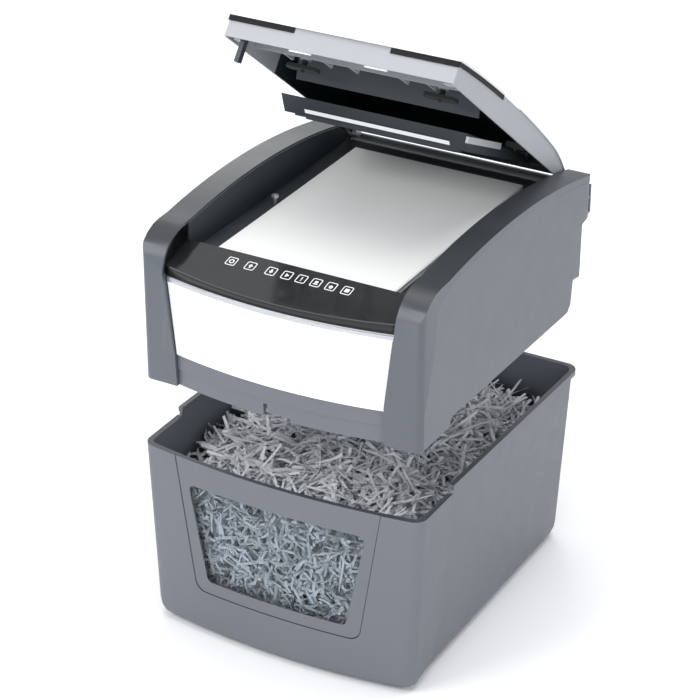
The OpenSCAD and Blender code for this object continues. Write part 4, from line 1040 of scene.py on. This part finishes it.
class ShredderColours(bpy.types.PropertyGroup):
    """Colours that a user would change."""

    shell: bpy.props.FloatVectorProperty(name="Shell", description="Colour of the bin and the head's sides",
        default=linear((100, 104, 111))[:3], size=3, subtype="COLOR", min=0, max=1)
    cheeks: bpy.props.FloatVectorProperty(name="Cheeks", description="Colour of the arched side caps",
        default=linear((86, 91, 98))[:3], size=3, subtype="COLOR", min=0, max=1)
    panel: bpy.props.FloatVectorProperty(name="Front panel", description="Colour of the pale panel on the front",
        default=linear((244, 245, 246))[:3], size=3, subtype="COLOR", min=0, max=1)
    paper: bpy.props.FloatVectorProperty(name="Paper", description="Colour of the sheets in the tray",
        default=linear((240, 240, 238))[:3], size=3, subtype="COLOR", min=0, max=1)
    shreds: bpy.props.FloatVectorProperty(name="Shreds", description="Colour of the cut paper in the bin",
        default=linear((234, 236, 238))[:3], size=3, subtype="COLOR", min=0, max=1)


class SHREDDER_OT_bin(bpy.types.Operator):
    """Gives the bin's nodes their finishes and builds its visible shells"""

    bl_idname = "shredder.bin"
    bl_label = "Bin"

    def execute(self, context):
        build_finishes(context.scene.shredder_colours)
        dress(["bin"])
        for node in ("bin_tub", "bin_front_shell", "window_frame"):
            fine_shell(node, "bin", FINISHES["shell_grey"])
        shell_seams()
        return {"FINISHED"}


class SHREDDER_OT_head(bpy.types.Operator):
    """Gives the cutting head's nodes their finishes and adds the printed symbols"""

    bl_idname = "shredder.head"
    bl_label = "Head"

    def execute(self, context):
        build_finishes(context.scene.shredder_colours)
        dress(["head"])
        for node in ("left_cheek", "right_cheek"):
            fine_shell(node, "head", FINISHES["dark_shell"])
        for node in ("left_side_panel", "right_side_panel", "front_housing"):
            fine_shell(node, "head", FINISHES["shell_grey"])
        fine_shell("front_panel", "head", FINISHES["panel_white"])
        fine_shell("trim_strip", "head", FINISHES["silver_trim"])
        fine_shell("control_panel", "head", FINISHES["gloss_black"])
        gloss_band()
        printed_icons()
        return {"FINISHED"}


class SHREDDER_OT_works(bpy.types.Operator):
    """Gives the cutters, gears, rollers, fan and switches their finishes"""

    bl_idname = "shredder.works"
    bl_label = "Cutters, gears and rollers"

    def execute(self, context):
        build_finishes(context.scene.shredder_colours)
        dress(["front_cutter", "rear_cutter", "reduction", "motor_rotor", "idler", "feed", "fan", "rocker",
               "plunger"])
        return {"FINISHED"}


class SHREDDER_OT_lid(bpy.types.Operator):
    """Gives the lid, its press pads and the pressure plate their finishes"""

    bl_idname = "shredder.lid"
    bl_label = "Lid and pressure plate"

    def execute(self, context):
        build_finishes(context.scene.shredder_colours)
        dress(["lid", "left_pad", "right_pad", "side_pad", "plate"])
        fine_shell("lid_frame", "lid", FINISHES["lid_frame"])
        for node in ("lid_front_skin", "lid_rear_skin"):
            fine_shell(node, "lid", FINISHES["lid_skin"])
        return {"FINISHED"}


class SHREDDER_OT_paper(bpy.types.Operator):
    """Lays the stack of paper in the tray"""

    bl_idname = "shredder.paper"
    bl_label = "Paper stack"

    def execute(self, context):
        build_finishes(context.scene.shredder_colours)
        paper_stack(context.scene.shredder_sizes)
        return {"FINISHED"}


class SHREDDER_OT_shreds(bpy.types.Operator):
    """Fills the bin with cut paper"""

    bl_idname = "shredder.shreds"
    bl_label = "Shreds"

    def execute(self, context):
        build_finishes(context.scene.shredder_colours)
        shred_bed()
        shreds(context.scene.shredder_sizes)
        return {"FINISHED"}


class SHREDDER_OT_stage(bpy.types.Operator):
    """Adds the pale floor, the studio lights, the world and the camera"""

    bl_idname = "shredder.stage"
    bl_label = "Stage"

    def execute(self, context):
        pale_floor()
        world = bpy.data.worlds.new("studio")
        world.use_nodes = True
        world.node_tree.nodes["Background"].inputs["Color"].default_value = (0.93, 0.95, 1.0, 1)
        world.node_tree.nodes["Background"].inputs["Strength"].default_value = 0.62
        context.scene.world = world
        context.scene.view_settings.view_transform = "Standard"
        middle = (0, 0, 0.35)
        soft_light("key", (-1.7, -2.4, 2.7), middle, 1.8, 1.4, 60)
        soft_light("fill", (2.8, -1.0, 1.3), middle, 1.6, 1.6, 22)
        soft_light("top", (0.1, 0.3, 3.0), middle, 2.2, 2.2, 56)
        soft_light("rim", (-1.6, 2.2, 1.6), middle, 1.2, 1.0, 10)
        soft_light("low", (0.4, -2.8, 0.7), (0, 0, 0.5), 1.6, 0.8, 16)
        camera_at(29.3, 28.4, 2.844, (-0.0250, -0.0004, 0.2787), 132.0)
        return {"FINISHED"}


class SHREDDER_PT_panel(bpy.types.Panel):
    """Lists the machine's pieces and their settings in the sidebar"""

    bl_idname = "SHREDDER_PT_panel"
    bl_label = "Paper shredder"
    bl_space_type = "VIEW_3D"
    bl_region_type = "UI"
    bl_category = "Shredder"

    def draw(self, context):
        for group in (context.scene.shredder_sizes, context.scene.shredder_colours):
            box = self.layout.box()
            for key in group.__annotations__:
                box.prop(group, key)
        for operator in OPERATORS:
            self.layout.operator(operator.bl_idname)


OPERATORS = (SHREDDER_OT_stage, SHREDDER_OT_bin, SHREDDER_OT_head, SHREDDER_OT_works, SHREDDER_OT_lid,
    SHREDDER_OT_paper, SHREDDER_OT_shreds)
CLASSES = (ShredderSizes, ShredderColours, *OPERATORS, SHREDDER_PT_panel)


def register():
    for cls in CLASSES:
        bpy.utils.register_class(cls)
    bpy.types.Scene.shredder_sizes = bpy.props.PointerProperty(type=ShredderSizes)
    bpy.types.Scene.shredder_colours = bpy.props.PointerProperty(type=ShredderColours)


def unregister():
    del bpy.types.Scene.shredder_sizes
    del bpy.types.Scene.shredder_colours
    for cls in reversed(CLASSES):
        bpy.utils.unregister_class(cls)


def main():
    register()
    for operator in (bpy.ops.shredder.stage, bpy.ops.shredder.bin, bpy.ops.shredder.head, bpy.ops.shredder.works,
                     bpy.ops.shredder.lid, bpy.ops.shredder.paper, bpy.ops.shredder.shreds):
        operator()


if __name__ == "__main__":
    main()
